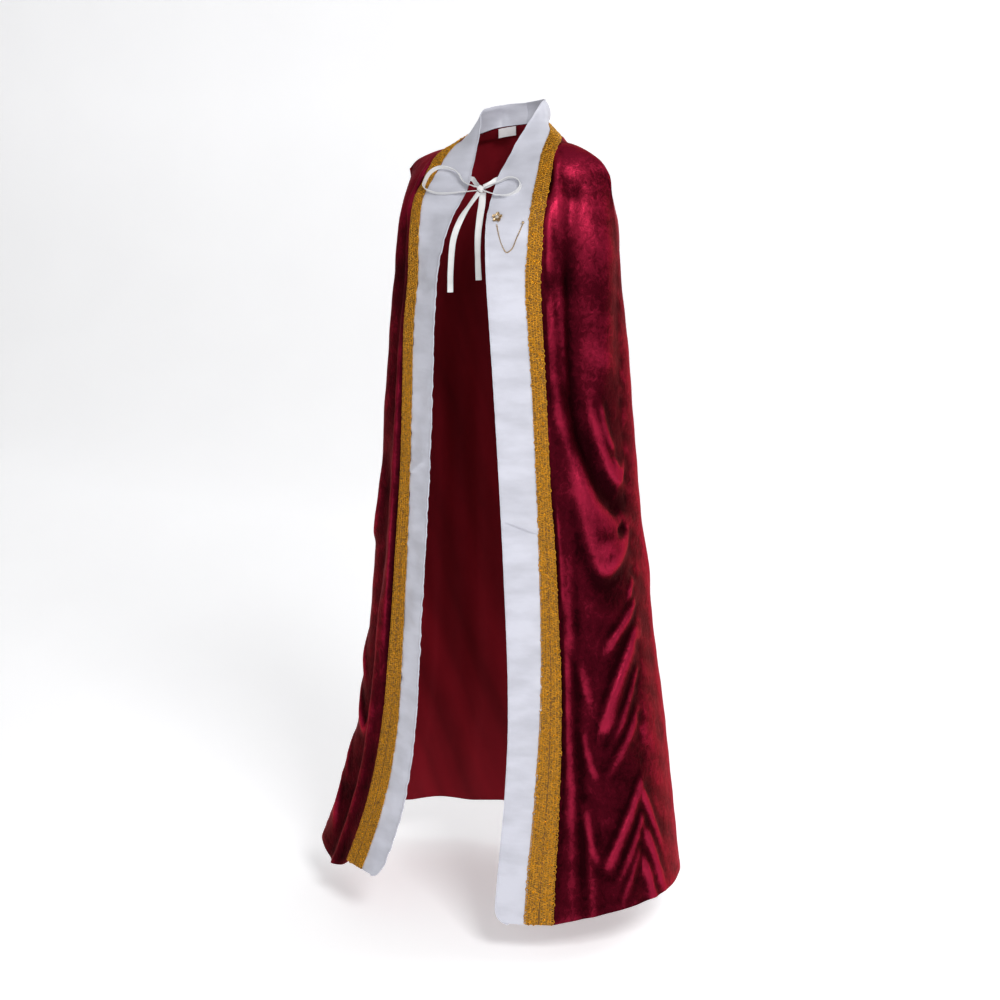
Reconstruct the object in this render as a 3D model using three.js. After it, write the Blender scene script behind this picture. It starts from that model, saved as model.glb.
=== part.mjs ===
// King cape: a full-length velvet cape with white satin bands that run on into a stand
// collar, gold braid along the bands, and a ribbon tie at the neck.
// Millimetres, +Z up. The front faces -Y and the wearer's left is +X.
// The origin is the centre of the neck base, where the wearer holds the cape up.
// A place on the cloth is given by its drop, the way down from the shoulder line, and by a
// measure across. On the velvet that is 0 at the braid, 1 at the side and 2 at the back.

import * as THREE from 'three';

// Walls and gaps
const VELVET_WALL = 2;
const SATIN_WALL = 2;
const BRAID_WALL = 1.6;
const RIBBON_WALL = 1.2;
const LABEL_WALL = 1;
const SEAM_GAP = 0.3;

// Main sizes
const HEM_DROP = 1400;
const YOKE_DROP = 240;
const BACK_NECK = -150;
const CORNER_RADIUS = 26;
const FRONT_DIP = 33;
const SIDE_DIP = 30;
const BACK_DIP = 12;
const DIP_START = 950;
const COLLAR_TILT = 8;
const COLLAR_FLARE = 7;
const COLLAR_HALF = 58;
const COLLAR_BULGE = 5;
const SHOULDER_TIP = new THREE.Vector3(216, 2, -43);
const SHOULDER_TILT = 5;
const RIDGE_FALL = 1.5;
const SEAM_SWING = 0.27;
const SWING_START = 650;
const RIBBON_WIDTH = 13;

// Mesh fineness
const ROWS_YOKE = 9;
const ROWS_BODY = 27;
const ROWS_NECK = 7;
const COLUMNS_FRONT = 16;
const COLUMNS_RIDGE = 5;
const COLUMNS_BAND = 3;
const COLUMNS_MARGIN = 2;

// Turns rows of numbers into rows with named columns
function table(columns, rows) {
  return rows.map((row) => Object.fromEntries(columns.map((name, i) => [name, row[i]])));
}

// The strip of band and braid round the neck, from the centre back (drop -150) over the
// shoulder line (drop 0) to the chest. free is the open edge, join the line between
// white and gold, and outer the braid's far edge.
const NECK = table(
  ['drop', 'freeX', 'freeY', 'freeZ', 'joinX', 'joinY', 'joinZ', 'outerX', 'outerY', 'outerZ'],
  [
    [-150, 0, 76, 73, 0, 80, 34, 0, 99, 14],
    [-110, 36, 66, 74, 36, 72, 33, 43, 90, 13],
    [-75, 53, 44, 72, 53, 55, 30, 67, 68, 10],
    [-40, 57, 20, 66, 67, 30, 24, 88, 36, 5],
    [0, 50, -2, 40, 87, 0, 15, 108.5, 2, -1],
    [30, 42, -30, 8, 95, -27, -3, 117, -24, -8],
    [58, 36.5, -52.6, -20, 101, -50, -22, 125, -48, -25],
    [82, 31, -76, -48, 107, -72, -47, 131, -66, -49],
    [104, 28.5, -94, -76, 111.5, -91, -70, 135, -82, -73],
    [130, 32, -117, -102, 116, -110, -96, 139.5, -101, -98],
    [164, 38, -143, -137, 116.5, -122, -134, 140, -114, -136],
    [200, 46.5, -161, -185, 116.5, -128.5, -183, 141, -121, -184],
  ],
);

// Level sections from the chest to the hem: the front edge, the widths of band and braid
// with their turns in degrees back from straight ahead, both sides, the back and the sway
const SECTIONS = table(
  [
    'drop', 'edgeX', 'edgeY', 'band', 'bandTurn', 'braid', 'braidTurn', 'leftX', 'rightX', 'sideY', 'backY',
    'sway',
  ],
  [
    [240, 52.9, -169.5, 71, 29, 27, 18, 229, 216, 2, 125, 0],
    [330, 59.8, -172, 71, 26.5, 26, 17, 233, 225, 0, 133, 0],
    [450, 66.7, -171, 71, 26, 25, 16, 240, 239, -2, 143, 0],
    [600, 75.7, -172.6, 70, 27, 25, 14, 251, 257, -3, 156, 0],
    [750, 85.4, -177.4, 69, 28, 28, 14, 266, 272, -4, 169, 0],
    [900, 94.7, -184, 67, 28, 31, 14, 284, 288, -5, 182, 0],
    [1000, 99.6, -189, 64, 26, 35, 15, 298, 300, -7, 191, 0],
    [1100, 102.8, -197, 61, 24, 39, 15, 314, 311, -10, 200, -1],
    [1200, 106, -213, 60, 21, 43, 17, 332, 326, -16, 209, -4],
    [1280, 111, -231, 60, 19, 46, 20, 350, 345, -24, 217, -9],
    [1340, 119, -250, 60, 20, 48, 22, 366, 364, -32, 223, -14],
    [1400, 130, -272, 60, 22, 50, 24, 382, 384, -38, 228, -19],
  ],
);

// How far the shoulder cloth has moved out and down between the shoulder line and the chest
const YOKE = table(
  ['drop', 'out', 'down'],
  [
    [0, 0, 0],
    [14, 0.08, 0.006],
    [30, 0.18, 0.03],
    [58, 0.36, 0.115],
    [82, 0.5, 0.21],
    [104, 0.63, 0.31],
    [130, 0.78, 0.42],
    [164, 0.9, 0.6],
    [200, 0.97, 0.79],
    [240, 1, 1],
  ],
);

// Largest folds. Each runs as a curve from its start past a bend to its end, and stands
// out from the cloth by its height, or lies in it where the height is negative.
const FOLD_COLUMNS = [
  'startDrop', 'startAcross', 'bendDrop', 'bendAcross', 'endDrop', 'endAcross', 'width', 'height',
];
const LEFT_FOLDS = table(FOLD_COLUMNS, [
  [40, 0.3, 260, 0.42, 520, 0.36, 24, -13],
  [400, 0.44, 640, 0.46, 650, 1.05, 24, -12],
  [100, 0.78, 300, 0.8, 480, 0.74, 36, 8],
  [180, 0.1, 400, 0.1, 570, 0.34, 15, 7],
  [480, 0.27, 923, 0.395, 700, 1.05, 40, 13],
  [770, 1.04, 850, 0.68, 940, 0.42, 16, 8],
  [830, 1, 960, 0.62, 1085, 0.36, 17, 9],
  [800, 0.16, 950, 0.2, 1075, 0.38, 20, 7],
  [950, 0.9, 1050, 0.65, 1140, 0.42, 15, 7],
  [1030, 0.82, 1110, 0.6, 1185, 0.36, 15, 7],
  [1150, 0.82, 1240, 0.63, 1330, 0.4, 17, 8],
  [1230, 0.8, 1310, 0.66, 1390, 0.46, 15, 7],
  [500, 0.18, 900, 0.12, 1700, 0.15, 17, 9],
  [1150, 0.76, 1260, 0.92, 1350, 1.1, 16, 7],
  [1230, 0.74, 1330, 0.88, 1450, 1, 16, 7],
]);
const RIGHT_FOLDS = table(FOLD_COLUMNS, [
  [60, 0.26, 300, 0.32, 620, 0.28, 20, -9],
  [90, 0.6, 400, 0.64, 720, 0.6, 28, 9],
  [250, 0.12, 700, 0.12, 1150, 0.1, 15, 7],
  [450, 0.46, 900, 0.42, 1800, 0.42, 26, -11],
  [560, 0.78, 1000, 0.72, 1800, 0.7, 34, 10],
  [750, 0.24, 1100, 0.24, 1700, 0.25, 20, 9],
  [520, 0.62, 880, 0.66, 700, 1.15, 34, 8],
  [880, 1.05, 980, 0.8, 1090, 0.58, 17, 7],
  [1080, 0.98, 1180, 0.78, 1290, 0.58, 17, 7],
]);
const BACK_FOLDS = table(FOLD_COLUMNS, [
  [160, 1.22, 700, 1.24, 1900, 1.27, 30, 13],
  [260, 1.37, 800, 1.37, 1900, 1.41, 26, -11],
  [200, 1.5, 800, 1.51, 1900, 1.54, 30, 12],
  [330, 1.64, 800, 1.64, 1900, 1.66, 26, -12],
  [220, 1.78, 800, 1.77, 1900, 1.79, 28, 12],
  [380, 1.92, 900, 1.93, 1900, 1.92, 26, -11],
]);

const radians = THREE.MathUtils.degToRad;
const mix = THREE.MathUtils.lerp;
const clamp01 = (value) => THREE.MathUtils.clamp(value, 0, 1);
const ease = (value) => THREE.MathUtils.smoothstep(value, 0, 1);
const steps = (from, to, count) => Array.from({ length: count + 1 }, (_, i) => mix(from, to, i / count));

// Smooth value through the rows of a table, as a cubic with the rows' mean slopes
function smooth(rows, valueOf, drop) {
  const last = rows.length - 1;
  let i = 0;
  while (i < last - 1 && drop > rows[i + 1].drop) i += 1;
  const slope = (k) => {
    const before = rows[Math.max(k - 1, 0)];
    const after = rows[Math.min(k + 1, last)];
    return (valueOf(after) - valueOf(before)) / (after.drop - before.drop);
  };
  const span = rows[i + 1].drop - rows[i].drop;
  const f = clamp01((drop - rows[i].drop) / span);
  const rise = valueOf(rows[i + 1]) - valueOf(rows[i]);
  const bend = (slope(i) * span - rise) * (1 - f) + (rise - slope(i + 1) * span) * f;
  return valueOf(rows[i]) + rise * f + f * (1 - f) * bend;
}

const section = (column, drop) => smooth(SECTIONS, (row) => row[column], Math.max(drop, YOKE_DROP));
const sideAt = (side, drop) => section(side > 0 ? 'leftX' : 'rightX', drop);

// A step along the floor plan, turned back from straight ahead
function planStep(from, length, turn) {
  const angle = radians(turn);
  return new THREE.Vector3(from.x + length * Math.cos(angle), from.y + length * Math.sin(angle), from.z);
}

// Stations of the strip: the neck rows as given, the level rows from their widths and turns
const STRIP = [
  ...NECK.map((row) => ({
    drop: row.drop,
    free: new THREE.Vector3(row.freeX, row.freeY, row.freeZ),
    join: new THREE.Vector3(row.joinX, row.joinY, row.joinZ),
    outer: new THREE.Vector3(row.outerX, row.outerY, row.outerZ),
  })),
  ...SECTIONS.map((row) => {
    const free = new THREE.Vector3(row.edgeX, row.edgeY, -row.drop);
    const join = planStep(free, row.band, row.bandTurn);
    return { drop: row.drop, free, join, outer: planStep(join, row.braid, row.braidTurn) };
  }),
];

function stripLine(line, drop) {
  const along = (axis) => smooth(STRIP, (row) => row[line][axis], drop);
  return new THREE.Vector3(along('x'), along('y'), along('z'));
}

// Rounded lower corner of the band: how far its free edge draws in near the hem
function cornerInset(drop) {
  const rise = Math.max(CORNER_RADIUS - (HEM_DROP - drop), 0);
  return CORNER_RADIUS - Math.sqrt(CORNER_RADIUS ** 2 - Math.min(rise, CORNER_RADIUS) ** 2);
}

// Share of the collar's lean at a point: all of it at the top edge, none on the chest
const collarShare = (point, drop) => clamp01((100 - drop) / 130) * clamp01((point.z + 60) / 120);

// How far the hem hangs under the level: most at the left front edge, a third of the way
// over the right front and at the centre back
function hemDip(side, across) {
  if (across > 1) return BACK_DIP * ease(across - 1);
  const f = clamp01(across);
  return side > 0 ? FRONT_DIP * (1 - f) ** 2 : SIDE_DIP * 6.75 * f * (1 - f) ** 2;
}

// Places a point of the pattern half on the wearer's left (side 1) or right (side -1).
// The collar stands higher on the left and leans out on both sides.
function place(point, side, drop, across) {
  const share = collarShare(point, drop);
  const tilt = (side * point.x) / COLLAR_HALF;
  const low = ease((drop - DIP_START) / (HEM_DROP - DIP_START));
  return new THREE.Vector3(
    side * point.x + section('sway', drop) + COLLAR_FLARE * share * tilt,
    point.y,
    point.z + COLLAR_TILT * share * tilt - hemDip(side, across) * low,
  );
}

// Band and braid without folds, across 0 at the free edge, 1 at the join, 2 at the outer edge
function stripPoint(side, drop, across) {
  const free = stripLine('free', drop);
  const join = stripLine('join', drop);
  const outer = stripLine('outer', drop);
  free.lerp(join, cornerInset(drop) / free.distanceTo(join));
  const point = across <= 1 ? free.lerp(join, across) : join.lerp(outer, across - 1);
  if (across < 1) {
    const round = Math.sin(Math.PI * across) * COLLAR_BULGE * collarShare(point, drop);
    point.addScaledVector(new THREE.Vector3(point.x, point.y, 0).normalize(), round);
  }
  return place(point, side, drop, 0);
}

// The shoulder line from the braid's edge out to the shoulder tip
function shoulderLine(side, f) {
  const neck = stripLine('outer', 0);
  return new THREE.Vector3(
    mix(neck.x, SHOULDER_TIP.x, f),
    mix(neck.y, SHOULDER_TIP.y, f),
    mix(neck.z, SHOULDER_TIP.z - side * SHOULDER_TILT, f ** RIDGE_FALL),
  );
}

// Level quarter curves: the front from the braid to the side, the back on to the centre
function frontLevel(side, drop, f) {
  const level = Math.max(drop, YOKE_DROP);
  const start = stripLine('outer', level);
  const sideX = sideAt(side, level);
  const sideY = section('sideY', level);
  const reach = (sideX - start.x) * 0.5;
  const lean = reach * Math.tan(radians(section('braidTurn', level)));
  return new THREE.CubicBezierCurve3(
    start,
    new THREE.Vector3(start.x + reach, start.y + lean, start.z),
    new THREE.Vector3(sideX, mix(sideY, start.y, 0.55), start.z),
    new THREE.Vector3(sideX, sideY, start.z),
  ).getPoint(f);
}

function backLevel(side, drop, f) {
  const level = Math.max(drop, YOKE_DROP);
  const sideX = sideAt(side, level);
  const sideY = section('sideY', level);
  const backY = section('backY', level);
  return new THREE.CubicBezierCurve3(
    new THREE.Vector3(sideX, sideY, -level),
    new THREE.Vector3(sideX, mix(sideY, backY, 0.55), -level),
    new THREE.Vector3(sideX * 0.55, backY, -level),
    new THREE.Vector3(0, backY, -level),
  ).getPoint(f);
}

// Cloth over the shoulder, between a point of the top line and one of the chest section
function yokePoint(top, below, drop) {
  const out = smooth(YOKE, (row) => row.out, drop);
  const down = smooth(YOKE, (row) => row.down, drop);
  return new THREE.Vector3(mix(top.x, below.x, out), mix(top.y, below.y, out), mix(top.z, below.z, down));
}

function frontPoint(side, drop, f) {
  if (drop >= YOKE_DROP) return place(frontLevel(side, drop, f), side, drop, f);
  const point = yokePoint(shoulderLine(side, f), frontLevel(side, drop, f), drop);
  const start = yokePoint(shoulderLine(side, 0), frontLevel(side, drop, 0), drop);
  const toBraid = stripLine('outer', drop).sub(start);
  return place(point.addScaledVector(toBraid, (1 - f) ** 2), side, drop, f);
}

// The back's top line is the shoulder for its first columns and the neck for the others
const RIDGE_SHARE = COLUMNS_RIDGE / (COLUMNS_RIDGE + ROWS_NECK);
const neckDropAt = (f) => BACK_NECK * clamp01((f - RIDGE_SHARE) / (1 - RIDGE_SHARE));

function backPoint(side, drop, f) {
  if (drop >= YOKE_DROP) return place(backLevel(side, drop, f), side, drop, 1 + f);
  const neckDrop = neckDropAt(f);
  const top = neckDrop < 0 ? stripLine('outer', neckDrop) : shoulderLine(side, 1 - f / RIDGE_SHARE);
  const point = yokePoint(top, backLevel(side, drop, f), drop);
  return place(point, side, mix(neckDrop, YOKE_DROP, drop / YOKE_DROP), 1);
}

function plainVelvet(side, drop, across) {
  if (across < 0) return stripPoint(side, drop, 2 + across);
  return across <= 1 ? frontPoint(side, drop, across) : backPoint(side, drop, across - 1);
}

// The way out of the cloth at a point, from its neighbours up, down and to both sides
function outward(surface, side, drop, across) {
  const high = Math.max(drop - 4, 0);
  const down = surface(side, drop + 4, across).sub(surface(side, high, across));
  const over = surface(side, drop, across + 0.02).sub(surface(side, drop, across - 0.02));
  return down.cross(over).multiplyScalar(side).normalize();
}

// Folds as spines on the plain cloth, with the height that each gives at a distance
const SPINE_STEPS = 12;
function foldSpines(side, rows) {
  return rows.map((row) => {
    const path = new THREE.QuadraticBezierCurve(
      new THREE.Vector2(row.startDrop, row.startAcross),
      new THREE.Vector2(row.bendDrop, row.bendAcross),
      new THREE.Vector2(row.endDrop, row.endAcross),
    );
    const points = path.getPoints(SPINE_STEPS).map((at) => {
      const overhang = Math.max(at.x - HEM_DROP, 0);
      const point = plainVelvet(side, Math.min(at.x, HEM_DROP), at.y);
      point.z -= overhang;
      return point;
    });
    return { points, width: row.width, height: row.height };
  });
}
const SPINES = {
  1: foldSpines(1, [...LEFT_FOLDS, ...BACK_FOLDS]),
  [-1]: foldSpines(-1, [...RIGHT_FOLDS, ...BACK_FOLDS]),
};

function foldHeight(side, point) {
  const line = new THREE.Line3();
  const nearest = new THREE.Vector3();
  let height = 0;
  for (const spine of SPINES[side]) {
    let best = Infinity;
    let along = 0;
    for (let i = 0; i < SPINE_STEPS; i += 1) {
      line.set(spine.points[i], spine.points[i + 1]);
      const f = line.closestPointToPointParameter(point, true);
      const distance = line.at(f, nearest).distanceTo(point);
      if (distance < best) {
        best = distance;
        along = (i + f) / SPINE_STEPS;
      }
    }
    height += spine.height * Math.exp(-((best / spine.width) ** 2)) * Math.sqrt(4 * along * (1 - along));
  }
  return height;
}

// Velvet with its folds, which die out at the braid and on the shoulder line
function velvetPoint(side, drop, across) {
  const point = plainVelvet(side, drop, across);
  if (across <= 0 || drop <= 0) return point;
  const share = ease(across / 0.08) * ease(drop / 60);
  return point.addScaledVector(outward(plainVelvet, side, drop, across), foldHeight(side, point) * share);
}

// Rows down the cloth and round the neck
const bodyDrops = [...steps(0, YOKE_DROP, ROWS_YOKE), ...steps(YOKE_DROP, HEM_DROP, ROWS_BODY).slice(1)];
const neckDrops = steps(BACK_NECK, 0, ROWS_NECK).slice(0, -1);
const stripDrops = [...neckDrops, ...bodyDrops];
const seamAt = (drop) => 1 - SEAM_SWING * ease((drop - SWING_START) / (HEM_DROP - SWING_START));

// A patch is a grid of points, the side its columns run round, and a test for missing cells
function patch(rows, columns, side, point, has = () => true) {
  const points = rows.map((drop, i) => columns.map((across, j) => point(drop, across, i, j)));
  return { points, side, has };
}

const marginColumns = steps(-1, 0, COLUMNS_MARGIN).slice(0, -1);
const frontColumns = [...marginColumns, ...steps(0, 1, COLUMNS_FRONT)];
const bandColumns = steps(0, 1, COLUMNS_BAND);
const braidColumns = steps(1, 2, COLUMNS_MARGIN);

const frontPatch = (side) => patch(bodyDrops, frontColumns, side, (drop, across) => (
  velvetPoint(side, drop, across > 0 ? across * seamAt(drop) : across)
));
const bandPatch = (side) => patch(stripDrops, bandColumns, side, (drop, f) => stripPoint(side, drop, f));
const braidPatch = (side) => patch(stripDrops, braidColumns, side, (drop, f) => stripPoint(side, drop, f));

// The back runs from seam to seam. Its first rows are the margin behind the neck alone.
function backPatch() {
  const half = steps(0, 1, COLUMNS_RIDGE + ROWS_NECK);
  const columns = [...half.map((f) => [1, f]), ...half.slice(0, -1).reverse().map((f) => [-1, f])];
  const rows = [...marginColumns.map((across) => [across, 0]), ...bodyDrops.map((drop) => [0, drop])];
  const isNeck = (j) => j >= COLUMNS_RIDGE && j < columns.length - 1 - COLUMNS_RIDGE;
  const point = ([across, drop], [side, f]) => (
    across < 0
      ? stripPoint(side, neckDropAt(f), 2 + across)
      : velvetPoint(side, drop, mix(seamAt(drop), 2, f))
  );
  return patch(rows, columns, 1, point, (i, j) => i >= COLUMNS_MARGIN || isNeck(j));
}

// Cells of a patch as corner lists, in the order that faces them out. The diagonal from the
// first corner is the one that stands out further, so cells on top of each other are cut alike.
function cellsOf({ points, side, has }) {
  const cells = [];
  const standsOut = (corners) => {
    const [a, b, c, d] = corners.map(([i, j]) => points[i][j]);
    return b.clone().sub(a).cross(c.clone().sub(a)).dot(d.clone().sub(a)) <= 0;
  };
  for (let i = 0; i < points.length - 1; i += 1) {
    for (let j = 0; j < points[0].length - 1; j += 1) {
      const corners = [[i, j], [i + 1, j], [i + 1, j + 1], [i, j + 1]];
      if (side < 0) corners.reverse();
      if (!standsOut(corners)) corners.push(corners.shift());
      if (has(i, j)) cells.push(corners);
    }
  }
  return cells;
}

// Normals that neighbouring pieces share, so that their walls stay parallel at a seam
const normalAt = new Map();
const keyOf = (point) => point.toArray().map((value) => value.toFixed(2)).join(' ');
function gatherNormals(cloth) {
  for (const cell of cellsOf(cloth)) {
    const [a, b, c, d] = cell.map(([i, j]) => cloth.points[i][j]);
    const normal = c.clone().sub(a).cross(d.clone().sub(b));
    for (const corner of [a, b, c, d]) {
      const key = keyOf(corner);
      normalAt.set(key, (normalAt.get(key) ?? new THREE.Vector3()).add(normal));
    }
  }
}

// Moves the points on a patch's outline towards its cells by half of the seam gap
function trimmed({ points, has }) {
  const rows = points.length;
  const columns = points[0].length;
  const isCell = ([i, j]) => i >= 0 && j >= 0 && i < rows - 1 && j < columns - 1 && has(i, j);
  const middle = ([i, j]) => [[i, j], [i + 1, j], [i + 1, j + 1], [i, j + 1]]
    .reduce((sum, [a, b]) => sum.addScaledVector(points[a][b], 0.25), new THREE.Vector3());
  return points.map((row, i) => row.map((point, j) => {
    const around = [[i, j], [i - 1, j], [i, j - 1], [i - 1, j - 1]].filter(isCell);
    if (around.length === 0 || around.length === 4) return point;
    const pull = new THREE.Vector3();
    for (const cell of around) pull.add(middle(cell).sub(point));
    const share = around.length === 1 ? Math.SQRT2 : 1;
    return point.clone().addScaledVector(pull.normalize(), (share * SEAM_GAP) / 2);
  }));
}

// Closed wall over a patch, between two distances out along the shared normals
function wall(cloth, outerMove, innerMove) {
  const points = trimmed(cloth);
  const positions = [];
  const numbers = new Map();
  const vertex = ([i, j], move) => {
    const key = `${i} ${j} ${move}`;
    if (!numbers.has(key)) {
      numbers.set(key, positions.length / 3);
      const normal = normalAt.get(keyOf(cloth.points[i][j])).clone().normalize();
      positions.push(...points[i][j].clone().addScaledVector(normal, move).toArray());
    }
    return numbers.get(key);
  };
  const moved = ([i, j], move) => {
    const point = cloth.points[i][j];
    return point.clone().addScaledVector(normalAt.get(keyOf(point)).clone().normalize(), move);
  };
  const slant = (high, low) => moved(high, outerMove).distanceTo(moved(low, innerMove));
  const index = [];
  const quad = (a, b, c, d) => index.push(a, b, c, a, c, d);
  const turned = (a, b, c, d) => index.push(a, c, b, a, d, c);
  const cells = cellsOf(cloth);
  const edges = new Set();
  const sides = (cell) => cell.map((corner, k) => [corner, cell[(k + 1) % 4]]);
  for (const cell of cells) for (const [from, to] of sides(cell)) edges.add(`${from} ${to}`);
  for (const cell of cells) {
    quad(...cell.map((corner) => vertex(corner, outerMove)));
    turned(...cell.map((corner) => vertex(corner, innerMove)));
    for (const [from, to] of sides(cell)) {
      if (edges.has(`${to} ${from}`)) continue;
      const rim = [
        vertex(to, outerMove), vertex(from, outerMove), vertex(from, innerMove), vertex(to, innerMove),
      ];
      if (slant(from, to) < slant(to, from)) rim.push(rim.shift());
      quad(...rim);
    }
  }
  return solid(positions, index);
}

function solid(positions, index) {
  const geometry = new THREE.BufferGeometry();
  geometry.setAttribute('position', new THREE.Float32BufferAttribute(positions, 3));
  geometry.setIndex(index);
  geometry.computeVertexNormals();
  return geometry;
}

// Flat ribbon along a path. Its width points along a given direction at each path point.
function ribbon(points, widthDirections, width, count) {
  const path = new THREE.CatmullRomCurve3(points);
  const directions = new THREE.CatmullRomCurve3(widthDirections);
  const positions = [];
  const index = [];
  for (let i = 0; i <= count; i += 1) {
    const t = path.getUtoTmapping(i / count);
    const centre = path.getPoint(t);
    const tangent = path.getTangent(t);
    const across = directions.getPoint(t);
    across.addScaledVector(tangent, -across.dot(tangent)).normalize();
    const face = tangent.clone().cross(across).normalize();
    for (const [w, h] of [[-1, -1], [1, -1], [1, 1], [-1, 1]]) {
      positions.push(...centre.clone()
        .addScaledVector(across, (w * width) / 2)
        .addScaledVector(face, (h * RIBBON_WALL) / 2).toArray());
    }
  }
  for (let i = 0; i < count; i += 1) {
    for (let k = 0; k < 4; k += 1) {
      const a = i * 4 + k;
      const b = i * 4 + ((k + 1) % 4);
      index.push(a, b, b + 4, a, b + 4, a + 4);
    }
  }
  const end = count * 4;
  index.push(0, 2, 1, 0, 3, 2, end, end + 1, end + 2, end, end + 2, end + 3);
  return solid(positions, index);
}

const cape = new THREE.Group();

function addPiece(name, geometry, material) {
  const mesh = new THREE.Mesh(geometry, material);
  mesh.name = name;
  cape.add(mesh);
  return mesh;
}

const velvet = new THREE.MeshStandardMaterial({ color: 0x7a1226, roughness: 0.55, metalness: 0 });
const satin = new THREE.MeshStandardMaterial({ color: 0xe4e5ee, roughness: 0.4, metalness: 0 });
const goldBraid = new THREE.MeshStandardMaterial({ color: 0xb8801a, roughness: 0.5, metalness: 0.4 });
const ribbonSatin = new THREE.MeshStandardMaterial({ color: 0xf2f2f5, roughness: 0.35, metalness: 0 });
const labelCloth = new THREE.MeshStandardMaterial({ color: 0xe9e6e6, roughness: 0.7, metalness: 0 });
const brass = new THREE.MeshStandardMaterial({ color: 0xc9a86a, roughness: 0.3, metalness: 0.9 });

// Along the shoulder both walls stand square on the shoulder line, in one upright plane
function squareShoulder(points, side) {
  const line = shoulderLine(side, 1).sub(shoulderLine(side, 0)).normalize();
  const square = new THREE.Vector3(0, 0, 1).addScaledVector(line, -line.z);
  square.x *= side;
  for (const point of points) normalAt.set(keyOf(point), square);
}

const back = backPatch();
const halves = [1, -1].map((side) => ({
  name: side > 0 ? 'left' : 'right',
  front: frontPatch(side),
  band: bandPatch(side),
  braid: braidPatch(side),
}));
gatherNormals(back);
for (const half of halves) {
  gatherNormals(half.front);
  gatherNormals(half.band);
}
const shoulderRow = back.points[COLUMNS_MARGIN];
squareShoulder([...halves[0].front.points[0].slice(COLUMNS_MARGIN), ...shoulderRow.slice(0, COLUMNS_RIDGE)], 1);
squareShoulder([...halves[1].front.points[0].slice(COLUMNS_MARGIN), ...shoulderRow.slice(-COLUMNS_RIDGE)], -1);
addPiece('back', wall(back, 0, -VELVET_WALL), velvet);
for (const half of halves) {
  addPiece(`front_${half.name}`, wall(half.front, 0, -VELVET_WALL), velvet);
  addPiece(`band_${half.name}`, wall(half.band, 0, -SATIN_WALL), satin);
  addPiece(`braid_${half.name}`, wall(half.braid, SEAM_GAP + BRAID_WALL, SEAM_GAP), goldBraid);
}

function bandSpot(side, drop, across) {
  return { point: stripPoint(side, drop, across), normal: outward(stripPoint, side, drop, across) };
}

// Ribbon tie: a strand from each band edge to the knot, a loop and a tail on each side
const KNOT = new THREE.Vector3(6, -106, -77);
const KNOT_SIZE = new THREE.Vector3(7.1, 4.6, 6.4);
const knot = addPiece('tie_knot', new THREE.SphereGeometry(1, 12, 8), ribbonSatin);
knot.scale.copy(KNOT_SIZE);
knot.position.copy(KNOT);

// Each strand comes out from under the free edge of its band
const STRAND = { drop: 91, width: 9, steps: 6, knotReach: 6.4, sag: 1 };
const UNDER_BAND = SATIN_WALL + 2 * SEAM_GAP + RIBBON_WALL / 2;
for (const side of [1, -1]) {
  const under = [0.12, 0.04, -0.04].map((across) => {
    const spot = bandSpot(side, STRAND.drop, across);
    return spot.point.addScaledVector(spot.normal, -UNDER_BAND);
  });
  const last = under[under.length - 1];
  const towards = last.clone().sub(KNOT).normalize();
  const end = KNOT.clone().addScaledVector(towards, STRAND.knotReach);
  const middle = last.clone().lerp(end, 0.5);
  middle.z -= STRAND.sag;
  const down = bandSpot(side, STRAND.drop + 5, 0).point.sub(bandSpot(side, STRAND.drop, 0).point);
  const width = [...under.map(() => down), down, new THREE.Vector3(0, 0.3, -1)];
  const name = side > 0 ? 'tie_strand_left' : 'tie_strand_right';
  addPiece(name, ribbon([...under, middle, end], width, STRAND.width, STRAND.steps), ribbonSatin);
}

// Each loop stands on edge over its band, by this table, from the knot out and back again
const LOOP_WIDTH = 8;
const LOOP_LIFT = 1.4;
const LOOPS = {
  tie_loop_left: {
    side: 1,
    out: [14.3, -108.5, -73.8],
    home: [14.3, -108.5, -80.2],
    steps: 18,
    route: table(['drop', 'across'], [[97, 0.12], [92, 0.32], [95, 0.55], [105, 0.68], [115, 0.62],
      [121, 0.44], [120, 0.2]]),
  },
  tie_loop_right: {
    side: -1,
    out: [-1.4, -108.5, -73.8],
    home: [-1.4, -108.5, -80.2],
    steps: 24,
    route: table(['drop', 'across'], [[98, 0.12], [87, 0.32], [81, 0.6], [81, 0.92], [90, 1.3],
      [104, 1.35], [116, 1.02], [122, 0.7], [121, 0.4], [117, 0.15]]),
  },
};
for (const [name, loop] of Object.entries(LOOPS)) {
  const spots = loop.route.map((row) => bandSpot(loop.side, row.drop, row.across));
  const braidLift = SEAM_GAP + BRAID_WALL;
  const lift = (row) => LOOP_WIDTH / 2 + LOOP_LIFT + braidLift * ease((row.across - 0.7) / 0.3);
  const points = spots.map((spot, i) => spot.point.addScaledVector(spot.normal, lift(loop.route[i])));
  const forward = new THREE.Vector3(0, -1, 0);
  addPiece(name, ribbon(
    [new THREE.Vector3(...loop.out), ...points, new THREE.Vector3(...loop.home)],
    [forward, ...spots.map((spot) => spot.normal), forward],
    LOOP_WIDTH,
    loop.steps,
  ), ribbonSatin);
}

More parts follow.
